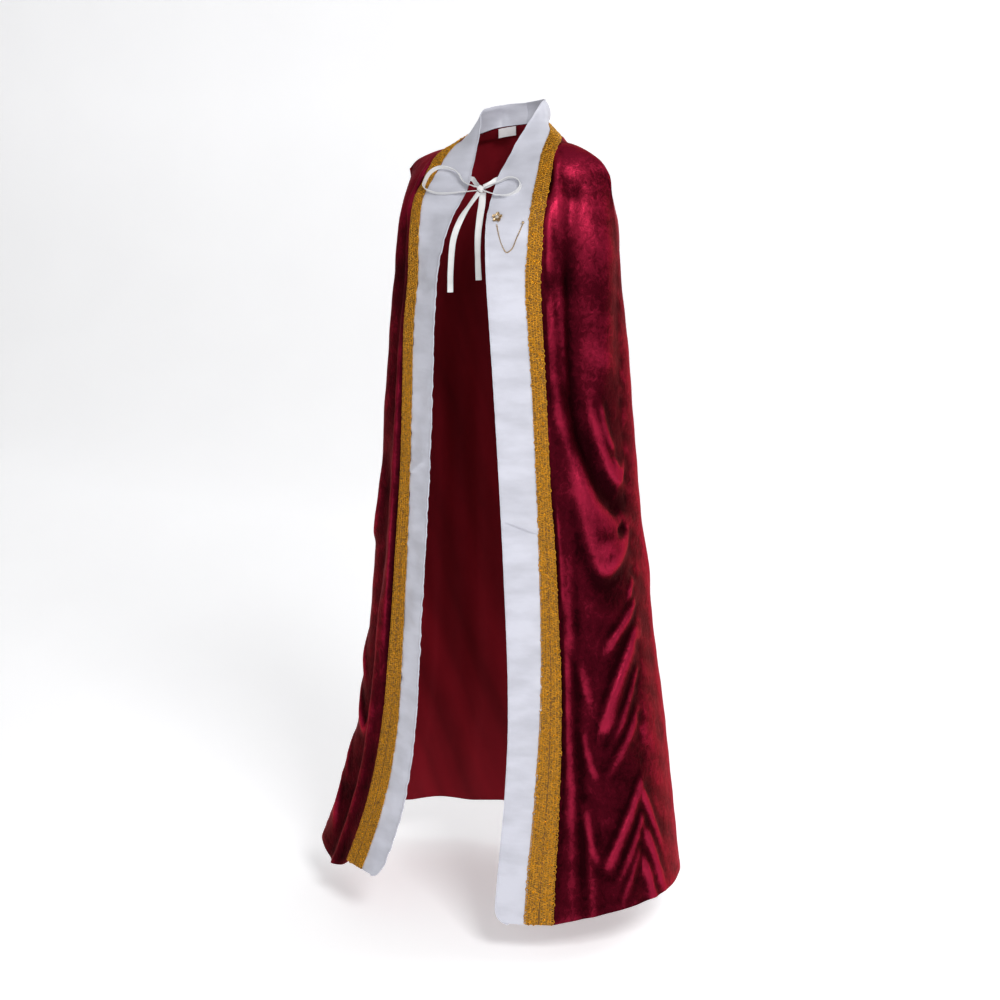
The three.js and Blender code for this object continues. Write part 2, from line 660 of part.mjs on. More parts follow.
// The tails hang from under the knot, a little in front of the opening
const TAILS = {
  tie_tail_left: {
    width: RIBBON_WIDTH,
    steps: 13,
    route: [[9.5, -104.5, -84.2], [11, -110, -103], [12, -119, -125], [12.5, -129, -163], [16, -136, -205],
      [19, -139, -240]],
    facing: [[1, 0.1, 0], [1, 0.25, 0], [1, 0.2, 0], [1, -0.1, 0], [1, -0.2, 0], [1, 0, 0]],
  },
  tie_tail_right: {
    width: 11,
    steps: 15,
    route: [[3.4, -107.6, -83.6], [-8, -116, -102], [-23, -129, -131], [-33, -140, -166], [-37, -146, -222],
      [-38, -147, -264]],
    facing: [[1, 0.1, 0.5], [1, 0.2, 0.8], [1, 0.8, 0.5], [1, 1.2, 0.1], [1, 1.2, 0], [1, 1, 0]],
  },
};
const vectors = (rows) => rows.map((row) => new THREE.Vector3(...row));
for (const [name, tail] of Object.entries(TAILS)) {
  addPiece(name, ribbon(vectors(tail.route), vectors(tail.facing), tail.width, tail.steps), ribbonSatin);
}

// Bare label, hung inside the neck seam a little to the wearer's right of the centre back
const LABEL = { first: 1, last: 3, top: 1.1, drop: 17, inset: 1.5 };
const labelPatch = patch([0, 1], neckDrops.slice(LABEL.first, LABEL.last + 1), 1, (down, drop) => {
  const point = stripPoint(-1, drop, LABEL.top);
  const inward = new THREE.Vector3(-point.x, -point.y, 0).normalize();
  point.addScaledVector(inward, VELVET_WALL + LABEL.inset);
  point.z -= down * LABEL.drop;
  return point;
});
gatherNormals(labelPatch);
addPiece('label', wall(labelPatch, LABEL_WALL / 2, -LABEL_WALL / 2), labelCloth);

// Brooch, chain and stud on the wearer's left band
const BROOCH = { drop: 155, across: 0.25, radius: 10, petals: 5, depth: 2.4, stone: 3.4 };
const STUD = { drop: 164, across: 0.86, radius: 2.6 };
const CHAIN_RADIUS = 1;
const CHAIN_STEPS = 18;

function petalOutline({ radius, petals }) {
  const points = steps(0, 1, petals * 6).slice(0, -1).map((turn) => {
    const reach = radius * (0.84 + 0.16 * Math.abs(Math.sin((turn * petals) * Math.PI)));
    return new THREE.Vector2(0, reach).rotateAround(new THREE.Vector2(), turn * 2 * Math.PI);
  });
  return new THREE.Shape(points);
}

const seat = bandSpot(1, BROOCH.drop, BROOCH.across);
const faceOut = new THREE.Quaternion().setFromUnitVectors(new THREE.Vector3(0, 0, 1), seat.normal);
const brooch = addPiece(
  'brooch',
  new THREE.ExtrudeGeometry(petalOutline(BROOCH), { depth: BROOCH.depth, bevelEnabled: false }),
  brass,
);
brooch.position.copy(seat.point).addScaledVector(seat.normal, SEAM_GAP + 0.4);
brooch.quaternion.copy(faceOut);
const stone = addPiece('brooch_stone', new THREE.SphereGeometry(BROOCH.stone, 10, 8), brass);
stone.position.copy(seat.point).addScaledVector(seat.normal, BROOCH.depth + BROOCH.stone + 1);

const studSpot = bandSpot(1, STUD.drop, STUD.across);
const stud = addPiece('chain_stud', new THREE.SphereGeometry(STUD.radius, 10, 8), brass);
stud.position.copy(studSpot.point).addScaledVector(studSpot.normal, STUD.radius + SEAM_GAP);

const CHAIN_ROUTE = table(['drop', 'across', 'lift'], [
  [166.6, 0.26, 1.7],
  [181, 0.32, 1.7],
  [194, 0.4, 1.7],
  [202, 0.5, 1.7],
  [198, 0.62, 1.7],
  [184, 0.73, 1.7],
  [167.5, 0.845, 1.9],
]);
const chainPoints = CHAIN_ROUTE.map((row) => {
  const spot = bandSpot(1, row.drop, row.across);
  return spot.point.addScaledVector(spot.normal, row.lift);
});
const chainSection = new THREE.Shape(
  steps(0, 1, 6).slice(0, -1).map((turn) => (
    new THREE.Vector2(CHAIN_RADIUS, 0).rotateAround(new THREE.Vector2(), turn * 2 * Math.PI)
  )),
);
addPiece('chain', new THREE.ExtrudeGeometry(chainSection, {
  steps: CHAIN_STEPS,
  extrudePath: new THREE.CatmullRomCurve3(chainPoints),
}), brass);

export default cape;
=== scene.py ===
"""Dresses the king cape: crushed velvet with its folds, white satin bands and collar, gold
braid of looped cord, a satin ribbon tie, a bare label, and a brooch with a fine chain."""

import math

import bpy
import numpy as np
from bpy.props import FloatProperty, FloatVectorProperty, IntProperty, PointerProperty
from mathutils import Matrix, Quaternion, Vector


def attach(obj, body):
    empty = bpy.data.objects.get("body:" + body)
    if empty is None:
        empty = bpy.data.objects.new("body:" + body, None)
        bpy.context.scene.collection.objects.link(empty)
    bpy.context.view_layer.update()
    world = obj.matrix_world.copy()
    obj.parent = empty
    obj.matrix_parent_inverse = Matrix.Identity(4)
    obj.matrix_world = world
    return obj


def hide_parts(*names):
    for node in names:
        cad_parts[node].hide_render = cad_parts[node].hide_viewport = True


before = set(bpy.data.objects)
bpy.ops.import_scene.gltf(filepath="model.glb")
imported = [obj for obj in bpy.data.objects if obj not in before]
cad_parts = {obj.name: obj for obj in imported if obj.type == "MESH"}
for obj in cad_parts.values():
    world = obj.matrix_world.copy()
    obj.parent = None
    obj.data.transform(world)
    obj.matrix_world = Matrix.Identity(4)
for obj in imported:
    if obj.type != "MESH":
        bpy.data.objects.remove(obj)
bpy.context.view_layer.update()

bl_info = {
    "name": "King cape",
    "version": (1, 0, 0),
    "blender": (4, 5, 0),
    "location": "View3D > Sidebar > Cape",
    "description": "Makes a full-length velvet cape with satin bands, gold braid and a ribbon tie",
    "category": "Add Mesh",
}

MM = 0.001
BODY = "root"
LEFT, RIGHT = 1, -1
SIDE_NAMES = {LEFT: "left", RIGHT: "right"}

# The pattern is in millimetres, +Z up, with the front facing -Y and the wearer's left at +X.
# A place on the cloth is its drop, the way down from the shoulder line, and a measure across.
# On the velvet that is 0 at the braid, 1 at the side and 2 at the centre back. On the strip of
# band and braid it is 0 at the free edge, 1 at the join and 2 at the braid's far edge.
HEM_DROP = 1400
YOKE_DROP = 240
BACK_NECK = -150
CORNER_RADIUS = 26
FRONT_DIP = 33
SIDE_DIP = 30
BACK_DIP = 12
DIP_START = 950
COLLAR_TILT = 8
COLLAR_FLARE = 7
COLLAR_HALF = 58
COLLAR_BULGE = 5
# The collar's lean fades out between these drops, and over these heights
LEAN_DROP, LEAN_SPAN = 100, 130
LEAN_LOW, LEAN_RISE = -60, 120
SHOULDER_TIP = np.array([216, 2, -43.0])
SHOULDER_TILT = 5
TIP_ROUND = 9
TIP_DRAW = 1.5
# The shoulder line starts to round towards its tip here, and goes on for this share of itself
TIP_START, TIP_SPAN = 0.7, 0.3
RIDGE_FALL = 1.5
RIDGE_SHARE = 5 / 12
# How far a level curve's two middle points reach towards its corner
LEVEL_REACH = 0.5
LEVEL_ROUND = 0.55
SEAM_SWING = 0.27
SWING_START = 650
VELVET_WALL = 2
SATIN_WALL = 2
SEAM_GAP = 0.3
BRAID_WALL = 1.6
RIBBON_WALL = 1.2
# Makes f * (1 - f) ** 2 reach 1 at its highest
PEAK = 27 / 4
# Steps to the neighbours that tell which way a surface faces
NEAR_DROP, NEAR_ACROSS = 4, 0.02


def table(names, rows):
    """Rows of numbers as one array for each named column."""
    return dict(zip(names.split(), np.array(rows, float).T))


NECK = table(
    "drop free_x free_y free_z join_x join_y join_z outer_x outer_y outer_z",
    [
        [-150, 0, 76, 73, 0, 80, 34, 0, 99, 14],
        [-110, 36, 66, 74, 36, 72, 33, 43, 90, 13],
        [-75, 53, 44, 72, 53, 55, 30, 67, 68, 10],
        [-40, 57, 20, 66, 67, 30, 24, 88, 36, 5],
        [0, 50, -2, 40, 87, 0, 15, 108.5, 2, -1],
        [30, 42, -30, 8, 95, -27, -3, 117, -24, -8],
        [58, 36.5, -52.6, -20, 101, -50, -22, 125, -48, -25],
        [82, 31, -76, -48, 107, -72, -47, 131, -66, -49],
        [104, 28.5, -94, -76, 111.5, -91, -70, 135, -82, -73],
        [130, 32, -117, -102, 116, -110, -96, 139.5, -101, -98],
        [164, 38, -143, -137, 116.5, -122, -134, 140, -114, -136],
        [200, 46.5, -161, -185, 116.5, -128.5, -183, 141, -121, -184],
    ],
)
SECTIONS = table(
    "drop edge_x edge_y band band_turn braid braid_turn left_x right_x side_y back_y sway",
    [
        [240, 52.9, -169.5, 71, 29, 27, 18, 229, 216, 2, 125, 0],
        [330, 59.8, -172, 71, 26.5, 26, 17, 233, 225, 0, 133, 0],
        [450, 66.7, -171, 71, 26, 25, 16, 240, 239, -2, 143, 0],
        [600, 75.7, -172.6, 70, 27, 25, 14, 251, 257, -3, 156, 0],
        [750, 85.4, -177.4, 69, 28, 28, 14, 266, 272, -4, 169, 0],
        [900, 94.7, -184, 67, 28, 31, 14, 284, 288, -5, 182, 0],
        [1000, 99.6, -189, 64, 26, 35, 15, 298, 300, -7, 191, 0],
        [1100, 102.8, -197, 61, 24, 39, 15, 314, 311, -10, 200, -1],
        [1200, 106, -213, 60, 21, 43, 17, 332, 326, -16, 209, -4],
        [1280, 111, -231, 60, 19, 46, 20, 350, 345, -24, 217, -9],
        [1340, 119, -250, 60, 20, 48, 22, 366, 364, -32, 223, -14],
        [1400, 130, -272, 60, 22, 50, 24, 382, 384, -38, 228, -19],
    ],
)
YOKE = table(
    "drop out down",
    [
        [0, 0, 0],
        [14, 0.08, 0.006],
        [30, 0.18, 0.03],
        [58, 0.38, 0.115],
        [82, 0.56, 0.205],
        [104, 0.69, 0.298],
        [130, 0.81, 0.415],
        [164, 0.91, 0.585],
        [200, 0.975, 0.78],
        [240, 1, 1],
    ],
)


def mix(low, high, f):
    return low + (high - low) * f


def clamp01(value):
    return np.clip(value, 0, 1)


def ease(value):
    f = clamp01(value)
    return f * f * (3 - 2 * f)


def unit(vectors):
    length = np.linalg.norm(vectors, axis=-1, keepdims=True)
    return vectors / np.maximum(length, 1e-9)


def hill(distance, width):
    """A smooth hill, 1 in its middle and near 0 at twice its width."""
    return np.exp(-((distance / width) ** 2))


def run_lengths(line):
    """Distance along a line of points, from its first one."""
    steps = np.linalg.norm(np.diff(line, axis=0), axis=-1)
    return np.concatenate([[0], np.cumsum(steps)])


def smooth(knots, values, at):
    """Value at each place on a cubic through the knots, with the neighbours' mean slopes."""
    last = len(knots) - 1
    number = np.arange(last + 1)
    before = np.maximum(number - 1, 0)
    after = np.minimum(number + 1, last)
    slope = (values[after] - values[before]) / (knots[after] - knots[before])
    i = np.clip(np.searchsorted(knots, at, side="left") - 1, 0, last - 1)
    span = knots[i + 1] - knots[i]
    f = clamp01((at - knots[i]) / span)
    rise = values[i + 1] - values[i]
    bend = (slope[i] * span - rise) * (1 - f) + (rise - slope[i + 1] * span) * f
    return values[i] + rise * f + f * (1 - f) * bend


def section(column, drop):
    return smooth(SECTIONS["drop"], SECTIONS[column], np.maximum(drop, YOKE_DROP))


def side_at(side, drop):
    return section("left_x" if side == LEFT else "right_x", drop)


def plan_step(start, length, turn):
    """A step along the floor plan, turned back from straight ahead by an angle in degrees."""
    angle = np.radians(turn)
    return start + np.stack([length * np.cos(angle), length * np.sin(angle), 0 * length], -1)


def strip_stations():
    """The strip's free, join and outer lines: the neck rows, then the level rows."""
    free = np.stack([SECTIONS["edge_x"], SECTIONS["edge_y"], -SECTIONS["drop"]], -1)
    join = plan_step(free, SECTIONS["band"], SECTIONS["band_turn"])
    outer = plan_step(join, SECTIONS["braid"], SECTIONS["braid_turn"])
    lines = {}
    for name, level in (("free", free), ("join", join), ("outer", outer)):
        neck = np.stack([NECK[f"{name}_{axis}"] for axis in "xyz"], -1)
        lines[name] = np.concatenate([neck, level])
    return np.concatenate([NECK["drop"], SECTIONS["drop"]]), lines


STRIP_DROPS, STRIP = strip_stations()


def strip_line(name, drop):
    return np.stack([smooth(STRIP_DROPS, STRIP[name][:, axis], drop) for axis in range(3)], -1)


def corner_inset(drop):
    """How far the band's free edge draws in near the hem, for its rounded corner."""
    rise = np.clip(CORNER_RADIUS - (HEM_DROP - drop), 0, CORNER_RADIUS)
    return CORNER_RADIUS - np.sqrt(CORNER_RADIUS**2 - rise**2)


def collar_share(point, drop):
    """Share of the collar's lean at a point: all at the top edge, none on the chest."""
    return clamp01((LEAN_DROP - drop) / LEAN_SPAN) * clamp01((point[..., 2] - LEAN_LOW) / LEAN_RISE)


def hem_dip(side, across):
    """How far the hem hangs under the level, in front of the side and behind it."""
    f = clamp01(across)
    front = FRONT_DIP * (1 - f) ** 2 if side == LEFT else SIDE_DIP * PEAK * f * (1 - f) ** 2
    return np.where(across > 1, BACK_DIP * ease(across - 1), front)


def place(point, side, drop, across):
    """Places a point of the pattern half on the wearer's left or right, with its lean and dip."""
    share = collar_share(point, drop)
    tilt = side * point[..., 0] / COLLAR_HALF
    low = ease((drop - DIP_START) / (HEM_DROP - DIP_START))
    x = side * point[..., 0] + section("sway", drop) + COLLAR_FLARE * share * tilt
    z = point[..., 2] + COLLAR_TILT * share * tilt - hem_dip(side, across) * low
    return np.stack([x, point[..., 1], z], -1)


def strip_point(side, drop, across):
    drop, across = np.broadcast_arrays(np.asarray(drop, float), across)
    free, join, outer = (strip_line(name, drop) for name in ("free", "join", "outer"))
    inset = corner_inset(drop) / np.linalg.norm(join - free, axis=-1)
    free = mix(free, join, inset[..., None])
    f = across[..., None]
    point = np.where(f <= 1, mix(free, join, f), mix(join, outer, f - 1))
    bulge = np.sin(np.pi * clamp01(across)) * COLLAR_BULGE * collar_share(point, drop)
    point = point + unit(point * (1, 1, 0)) * bulge[..., None]
    return place(point, side, drop, np.zeros_like(drop))


def shoulder_line(side, f):
    """The shoulder line from the braid's edge out to the shoulder tip."""
    neck = strip_line("outer", np.zeros_like(f))
    tip_z = SHOULDER_TIP[2] - side * SHOULDER_TILT
    rounding = clamp01((f - TIP_START) / TIP_SPAN) ** 2
    return np.stack(
        [
            mix(neck[..., 0], SHOULDER_TIP[0], f) - TIP_DRAW * rounding,
            mix(neck[..., 1], SHOULDER_TIP[1], f),
            mix(neck[..., 2], tip_z, clamp01(f) ** RIDGE_FALL) - TIP_ROUND * rounding,
        ],
        -1,
    )


def bezier(a, b, c, d, f):
    f = f[..., None]
    return a * (1 - f) ** 3 + 3 * b * f * (1 - f) ** 2 + 3 * c * f * f * (1 - f) + d * f**3


def front_level(side, drop, f):
    """Level curve from the braid to the side."""
    level = np.maximum(drop, YOKE_DROP)
    start = strip_line("outer", level)
    side_x, side_y = side_at(side, level), section("side_y", level)
    reach = (side_x - start[..., 0]) * LEVEL_REACH
    lean = reach * np.tan(np.radians(section("braid_turn", level)))
    z = start[..., 2]
    ahead = np.stack([start[..., 0] + reach, start[..., 1] + lean, z], -1)
    beside = np.stack([side_x, mix(side_y, start[..., 1], LEVEL_ROUND), z], -1)
    return bezier(start, ahead, beside, np.stack([side_x, side_y, z], -1), f)


def back_level(side, drop, f):
    """Level curve from the side to the centre back."""
    level = np.maximum(drop, YOKE_DROP)
    side_x, side_y, back_y = side_at(side, level), section("side_y", level), section("back_y", level)
    z = -level
    return bezier(
        np.stack([side_x, side_y, z], -1),
        np.stack([side_x, mix(side_y, back_y, LEVEL_ROUND), z], -1),
        np.stack([side_x * LEVEL_ROUND, back_y, z], -1),
        np.stack([0 * side_x, back_y, z], -1),
        f,
    )


def yoke_point(top, below, drop):
    """Cloth over the shoulder, between a point of the top line and one of the chest section."""
    out = smooth(YOKE["drop"], YOKE["out"], drop)
    down = smooth(YOKE["drop"], YOKE["down"], drop)
    return mix(top, below, np.stack([out, out, down], -1))


def front_point(side, drop, f):
    level = front_level(side, drop, f)
    point = yoke_point(shoulder_line(side, f), level, drop)
    start = yoke_point(shoulder_line(side, 0 * f), front_level(side, drop, 0 * f), drop)
    point = point + (strip_line("outer", drop) - start) * (1 - f[..., None]) ** 2
    return place(np.where(drop[..., None] >= YOKE_DROP, level, point), side, drop, f)


def neck_drop_at(f):
    return BACK_NECK * clamp01((f - RIDGE_SHARE) / (1 - RIDGE_SHARE))


def back_point(side, drop, f):
    level = back_level(side, drop, f)
    neck_drop = neck_drop_at(f)
    ridge = shoulder_line(side, 1 - f / RIDGE_SHARE)
    top = np.where(neck_drop[..., None] < 0, strip_line("outer", neck_drop), ridge)
    yoke = yoke_point(top, level, drop)
    high = place(yoke, side, mix(neck_drop, YOKE_DROP, drop / YOKE_DROP), np.ones_like(f))
    return np.where(drop[..., None] >= YOKE_DROP, place(level, side, drop, 1 + f), high)


def plain_velvet(side, drop, across):
    """Velvet without its folds. Under the braid it follows the strip."""
    drop, across = np.broadcast_arrays(np.asarray(drop, float), np.asarray(across, float))
    under = strip_point(side, drop, 2 + np.minimum(across, 0))
    front = front_point(side, drop, clamp01(across))
    back = back_point(side, drop, np.maximum(across - 1, 0))
    f = across[..., None]
    return np.where(f < 0, under, np.where(f <= 1, front, back))


def outward(surface, side, drop, across):
    """The way out of the cloth at a point, from its neighbours up, down and to both sides."""
    top = np.where(drop < 0, BACK_NECK, 0)
    above = surface(side, np.maximum(drop - NEAR_DROP, top), across)
    down = surface(side, drop + NEAR_DROP, across) - above
    over = surface(side, drop, across + NEAR_ACROSS) - surface(side, drop, across - NEAR_ACROSS)
    return unit(np.cross(down, over) * side)


def seam_at(drop):
    return 1 - SEAM_SWING * ease((drop - SWING_START) / (HEM_DROP - SWING_START))


class Fold:
    """A fold along a spine of (drop, across) places. It stands out of the cloth by its height,
    or lies in it where that is negative, and fades over one width on the spine's near side,
    towards the braid or the shoulder, and over another on its far side."""

    def __init__(self, height, near, far, *places):
        self.height = height
        self.near = near
        self.far = far
        self.places = np.array(places, float)


# Folds of the wearer's left front, from the shoulder down
LEFT_FOLDS = [
    Fold(-19, 27, 22, (20, 0.3), (270, 0.38), (440, 0.38), (560, 0.5), (650, 0.74), (652, 1.1)),
    Fold(-7, 17, 17, (50, 0.32), (120, 0.36), (200, 0.38), (310, 0.38)),
    Fold(9, 30, 40, (90, 0.76), (280, 0.79), (480, 0.72)),
    Fold(5, 9, 12, (40, 0.03), (90, 0.1), (170, 0.2)),
    Fold(4, 9, 9, (110, 0.02), (180, 0.08), (250, 0.12)),
    Fold(6, 11, 13, (200, 0.12), (330, 0.12), (456, 0.15), (580, 0.3)),
    Fold(5, 9, 11, (190, 0.26), (330, 0.265), (480, 0.28)),
    Fold(6, 18, 8, (420, 0.53), (500, 0.6), (590, 0.76), (612, 0.9), (560, 1.02)),
    Fold(4, 8, 7, (440, 0.66), (520, 0.74), (570, 0.88)),
    Fold(4, 8, 7, (560, 0.8), (592, 0.88), (600, 0.97)),
    Fold(9, 24, 13, (480, 0.24), (640, 0.36), (748, 0.47), (776, 0.62), (738, 0.84), (680, 1.08)),
    Fold(13, 38, 38, (520, 0.32), (640, 0.49), (705, 0.61), (800, 0.68)),
    Fold(5, 16, 16, (712, 0.6), (748, 0.62), (780, 0.64)),
    Fold(-5, 8, 8, (655, 0.72), (668, 0.79), (664, 0.88)),
    Fold(-9, 11, 11, (694, 0.8), (706, 0.85), (694, 0.93)),
    Fold(4, 10, 6, (795, 1.0), (815, 0.92), (845, 0.82)),
    Fold(5, 12, 7, (830, 1.0), (856, 0.88), (900, 0.64), (935, 0.46)),
    Fold(8, 20, 9, (860, 1.02), (915, 0.84), (1000, 0.57), (1062, 0.43), (1068, 0.36)),
    Fold(3, 12, 8, (840, 0.15), (950, 0.22), (1052, 0.36)),
    Fold(4, 10, 7, (950, 0.93), (1010, 0.76), (1118, 0.47)),
    Fold(4, 12, 7, (1030, 0.86), (1085, 0.7), (1170, 0.42)),
    Fold(2.5, 9, 7, (1040, 0.2), (1120, 0.28), (1168, 0.38)),
    Fold(6, 15, 8, (1150, 0.84), (1205, 0.72), (1300, 0.47), (1335, 0.41)),
    Fold(3, 10, 8, (1180, 0.22), (1260, 0.29), (1330, 0.39)),
    Fold(5, 11, 7, (1225, 0.8), (1275, 0.7), (1368, 0.48)),
    Fold(3, 9, 7, (1290, 0.74), (1330, 0.66), (1400, 0.52)),
    Fold(7, 11, 13, (560, 0.18), (822, 0.15), (1012, 0.09), (1200, 0.13), (1500, 0.16)),
    Fold(4, 8, 8, (600, 0.05), (749, 0.07), (860, 0.06)),
    Fold(-6, 12, 14, (700, 0.25), (1000, 0.18), (1200, 0.22), (1500, 0.27)),
    Fold(4, 8, 9, (1170, 0.76), (1240, 0.86), (1330, 1.0)),
    Fold(4, 8, 10, (1240, 0.75), (1320, 0.87), (1420, 0.98)),
    Fold(3.5, 8, 9, (1300, 0.73), (1380, 0.82), (1480, 0.88)),
    Fold(5, 12, 12, (1180, 0.24), (1330, 0.3), (1500, 0.32)),
]
# Folds of the wearer's right front
RIGHT_FOLDS = [
    Fold(-10, 22, 20, (60, 0.26), (300, 0.31), (620, 0.28)),
    Fold(9, 26, 30, (90, 0.6), (400, 0.64), (720, 0.6)),
    Fold(5, 9, 11, (50, 0.04), (110, 0.12), (190, 0.2)),
    Fold(7, 13, 15, (250, 0.12), (700, 0.12), (1150, 0.1)),
    Fold(-11, 26, 24, (450, 0.46), (900, 0.42), (1700, 0.42)),
    Fold(10, 34, 30, (560, 0.78), (1000, 0.72), (1700, 0.7)),
    Fold(9, 17, 19, (750, 0.24), (1100, 0.24), (1700, 0.25)),
    Fold(8, 34, 14, (560, 0.6), (700, 0.64), (770, 0.78), (740, 1.12)),
    Fold(7, 17, 10, (880, 1.05), (980, 0.8), (1090, 0.58)),
    Fold(6, 14, 9, (980, 0.98), (1060, 0.8), (1150, 0.52), (1100, 0.4)),
    Fold(7, 17, 10, (1080, 0.98), (1180, 0.78), (1290, 0.58)),
    Fold(6, 14, 10, (1180, 0.86), (1270, 0.7), (1370, 0.5)),
    Fold(5, 9, 11, (640, 0.06), (800, 0.05), (1000, 0.04)),
]
# Hanging folds of one half of the back
BACK_FOLDS = [
    Fold(13, 28, 32, (160, 1.22), (700, 1.24), (1700, 1.27)),
    Fold(-11, 24, 28, (260, 1.37), (800, 1.37), (1700, 1.41)),
    Fold(12, 28, 30, (200, 1.5), (800, 1.51), (1700, 1.54)),
    Fold(-12, 26, 26, (330, 1.64), (800, 1.64), (1700, 1.66)),
    Fold(12, 26, 28, (220, 1.78), (800, 1.77), (1700, 1.79)),
    Fold(-11, 26, 26, (380, 1.92), (900, 1.93), (1700, 1.92)),
    Fold(6, 14, 12, (90, 1.5), (150, 1.62), (230, 1.7)),
    Fold(5, 14, 12, (120, 1.2), (200, 1.3), (330, 1.42)),
    Fold(5, 12, 12, (700, 1.16), (900, 1.31), (1200, 1.33)),
    Fold(5, 12, 12, (900, 1.86), (1100, 1.84), (1500, 1.85)),
]
SPINE_STEPS = 9
END_FADE = 0.3
# A fold counts this many of its widths away from its spine
FOLD_REACH = 2.6


def through(points, per_span):
    """A smooth run through points, at even shares of each span between two of them."""
    number = np.arange(len(points), dtype=float)
    at = np.linspace(0, number[-1], per_span * (len(points) - 1) + 1)
    return np.stack([smooth(number, points[:, axis], at) for axis in range(points.shape[1])], -1)


def fold_spine(side, fold):
    places = through(fold.places, SPINE_STEPS)
    drop, across = places[:, 0], places[:, 1]
    points = plain_velvet(side, np.minimum(drop, HEM_DROP), across)
    points[:, 2] -= np.maximum(drop - HEM_DROP, 0)
    return {"fold": fold, "side": side, "points": points}


SPINES = [fold_spine(LEFT, fold) for fold in LEFT_FOLDS + BACK_FOLDS]
SPINES += [fold_spine(RIGHT, fold) for fold in RIGHT_FOLDS + BACK_FOLDS]


def height_of(spine, points, normals):
    """Height that one fold gives to points of the plain cloth."""
    fold, line = spine["fold"], spine["points"]
    best = np.full(len(points), np.inf)
    along = np.zeros(len(points))
    turned = np.zeros(len(points))
    for i, (start, end) in enumerate(zip(line[:-1], line[1:])):
        run = end - start
        f = clamp01((points - start) @ run / (run @ run))
        away = points - (start + f[:, None] * run)
        distance = np.linalg.norm(away, axis=-1)
        nearer = distance < best
        best = np.where(nearer, distance, best)
        along = np.where(nearer, (i + f) / (len(line) - 1), along)
        turn = np.einsum("ij,ij->i", np.cross(run, away), normals) * spine["side"]
        turned = np.where(nearer, turn, turned)
    width = np.where(turned > 0, fold.near, fold.far)
    ends = ease(along / END_FADE) * ease((1 - along) / END_FADE)
    return fold.height * hill(best, width) * ends


def fold_height(points, normals):
    flat, flat_normals = points.reshape(-1, 3), normals.reshape(-1, 3)
    height = np.zeros(len(flat))
    for spine in SPINES:
        reach = FOLD_REACH * max(spine["fold"].near, spine["fold"].far)
        low, high = spine["points"].min(0) - reach, spine["points"].max(0) + reach
        close = ((flat > low) & (flat < high)).all(-1)
        height[close] += height_of(spine, flat[close], flat_normals[close])
    return height.reshape(points.shape[:-1])


WAVES = 7
WAVE_SPREAD = (0.6, 1.6)


def ripple(points, seed, length):
    """Soft uneven waves, mostly from -1 to 1, of a fixed seed, over about that length."""
    random = np.random.default_rng(seed)
    total = np.zeros(points.shape[:-1])
    for _ in range(WAVES):
        wave = unit(random.normal(size=3)) * 2 * np.pi / (length * random.uniform(*WAVE_SPREAD))
        total += np.sin(points @ wave + random.uniform(0, 2 * np.pi))
    return total / 4


SEAM_REACH = 26
SEAM_SINK = 1.6
SEAM_FADE = 300
HALF_GIRTH = 430
PUCKER_HEIGHT = 1.5
PUCKER_LENGTH = 17
PUCKER_SEED = 3
LOOSE_HEIGHT = 1.3
LOOSE_LENGTH = 90
LOOSE_SEED = 5
# Folds fade out this near to the braid, as a share across, and to the shoulder line
EDGE_ACROSS = 0.08
EDGE_DROP = 60
# Makes ripples change mostly with height
UPRIGHT = (0.2, 0.2, 1)


def velvet_point(side, drop, across, depth):
    """Velvet with its folds, its puckers at the side seam and a little looseness all over."""
    point = plain_velvet(side, drop, across)
    normal = outward(plain_velvet, side, drop, across)
    share = ease(across / EDGE_ACROSS) * ease(drop / EDGE_DROP)
    girth = HALF_GIRTH * np.abs(across - seam_at(drop))
    near_seam = hill(girth, SEAM_REACH) * ease((drop - EDGE_DROP) / SEAM_FADE)
    pucker = ripple(point * UPRIGHT, PUCKER_SEED, PUCKER_LENGTH) * PUCKER_HEIGHT - SEAM_SINK
    pucker = pucker * near_seam
    loose = ripple(point, LOOSE_SEED, LOOSE_LENGTH) * LOOSE_HEIGHT
    height = (fold_height(point, normal) * depth + pucker + loose) * share
    return point + normal * height[..., None]


def grid_normals(points, side):
    """Normals of a grid of points, from the points beside each one."""
    down = np.gradient(points, axis=0)
    over = np.gradient(points, axis=1)
    return unit(np.cross(down, over) * side)


# Its result is the ridge attribute, from which the velvet paints shade in troughs and highlight on ridges
def bumpiness(points, normals):
    """How far each grid point stands above the points around it, near and far, from -1 to 1."""
    total = np.zeros(points.shape[:-1])
    for reach, scale in RIDGE_REACHES:
        mean = np.zeros_like(points)
        for shift, axis in ((reach, 0), (-reach, 0), (reach, 1), (-reach, 1)):
            number = np.clip(np.arange(points.shape[axis]) + shift, 0, points.shape[axis] - 1)
            mean += np.take(points, number, axis) / 4
        total += np.tanh(((points - mean) * normals).sum(-1) / scale) / len(RIDGE_REACHES)
    return total


# Meshes


def face_list(rows, columns, side, keep):
    """Corner numbers of a grid's cells, in the order that faces them out."""
    cells = [(i, j) for i in range(rows - 1) for j in range(columns - 1) if keep is None or keep[i, j]]
    faces = []
    for i, j in cells:
        corner = i * columns + j
        face = [corner, corner + columns, corner + columns + 1, corner + 1]
        faces.append(face if side == LEFT else face[::-1])
    return faces


def rim_edges(faces):
    """Directed edges that only one face has."""
    edges = {(a, b) for face in faces for a, b in zip(face, face[1:] + face[:1])}
    return [(a, b) for a, b in edges if (b, a) not in edges]


def new_piece(name, vertices, faces, materials=(), smooth_angle=50):
    """A mesh object at the origin, from vertices in millimetres."""
    mesh = bpy.data.meshes.new(name)
    mesh.from_pydata((np.asarray(vertices) * MM).tolist(), [], faces)
    mesh.update()
    mesh.shade_smooth()
    mesh.set_sharp_from_angle(angle=math.radians(smooth_angle))
    for material in materials:
        mesh.materials.append(material)
    piece = bpy.data.objects.new(name, mesh)
    bpy.context.collection.objects.link(piece)
    return piece


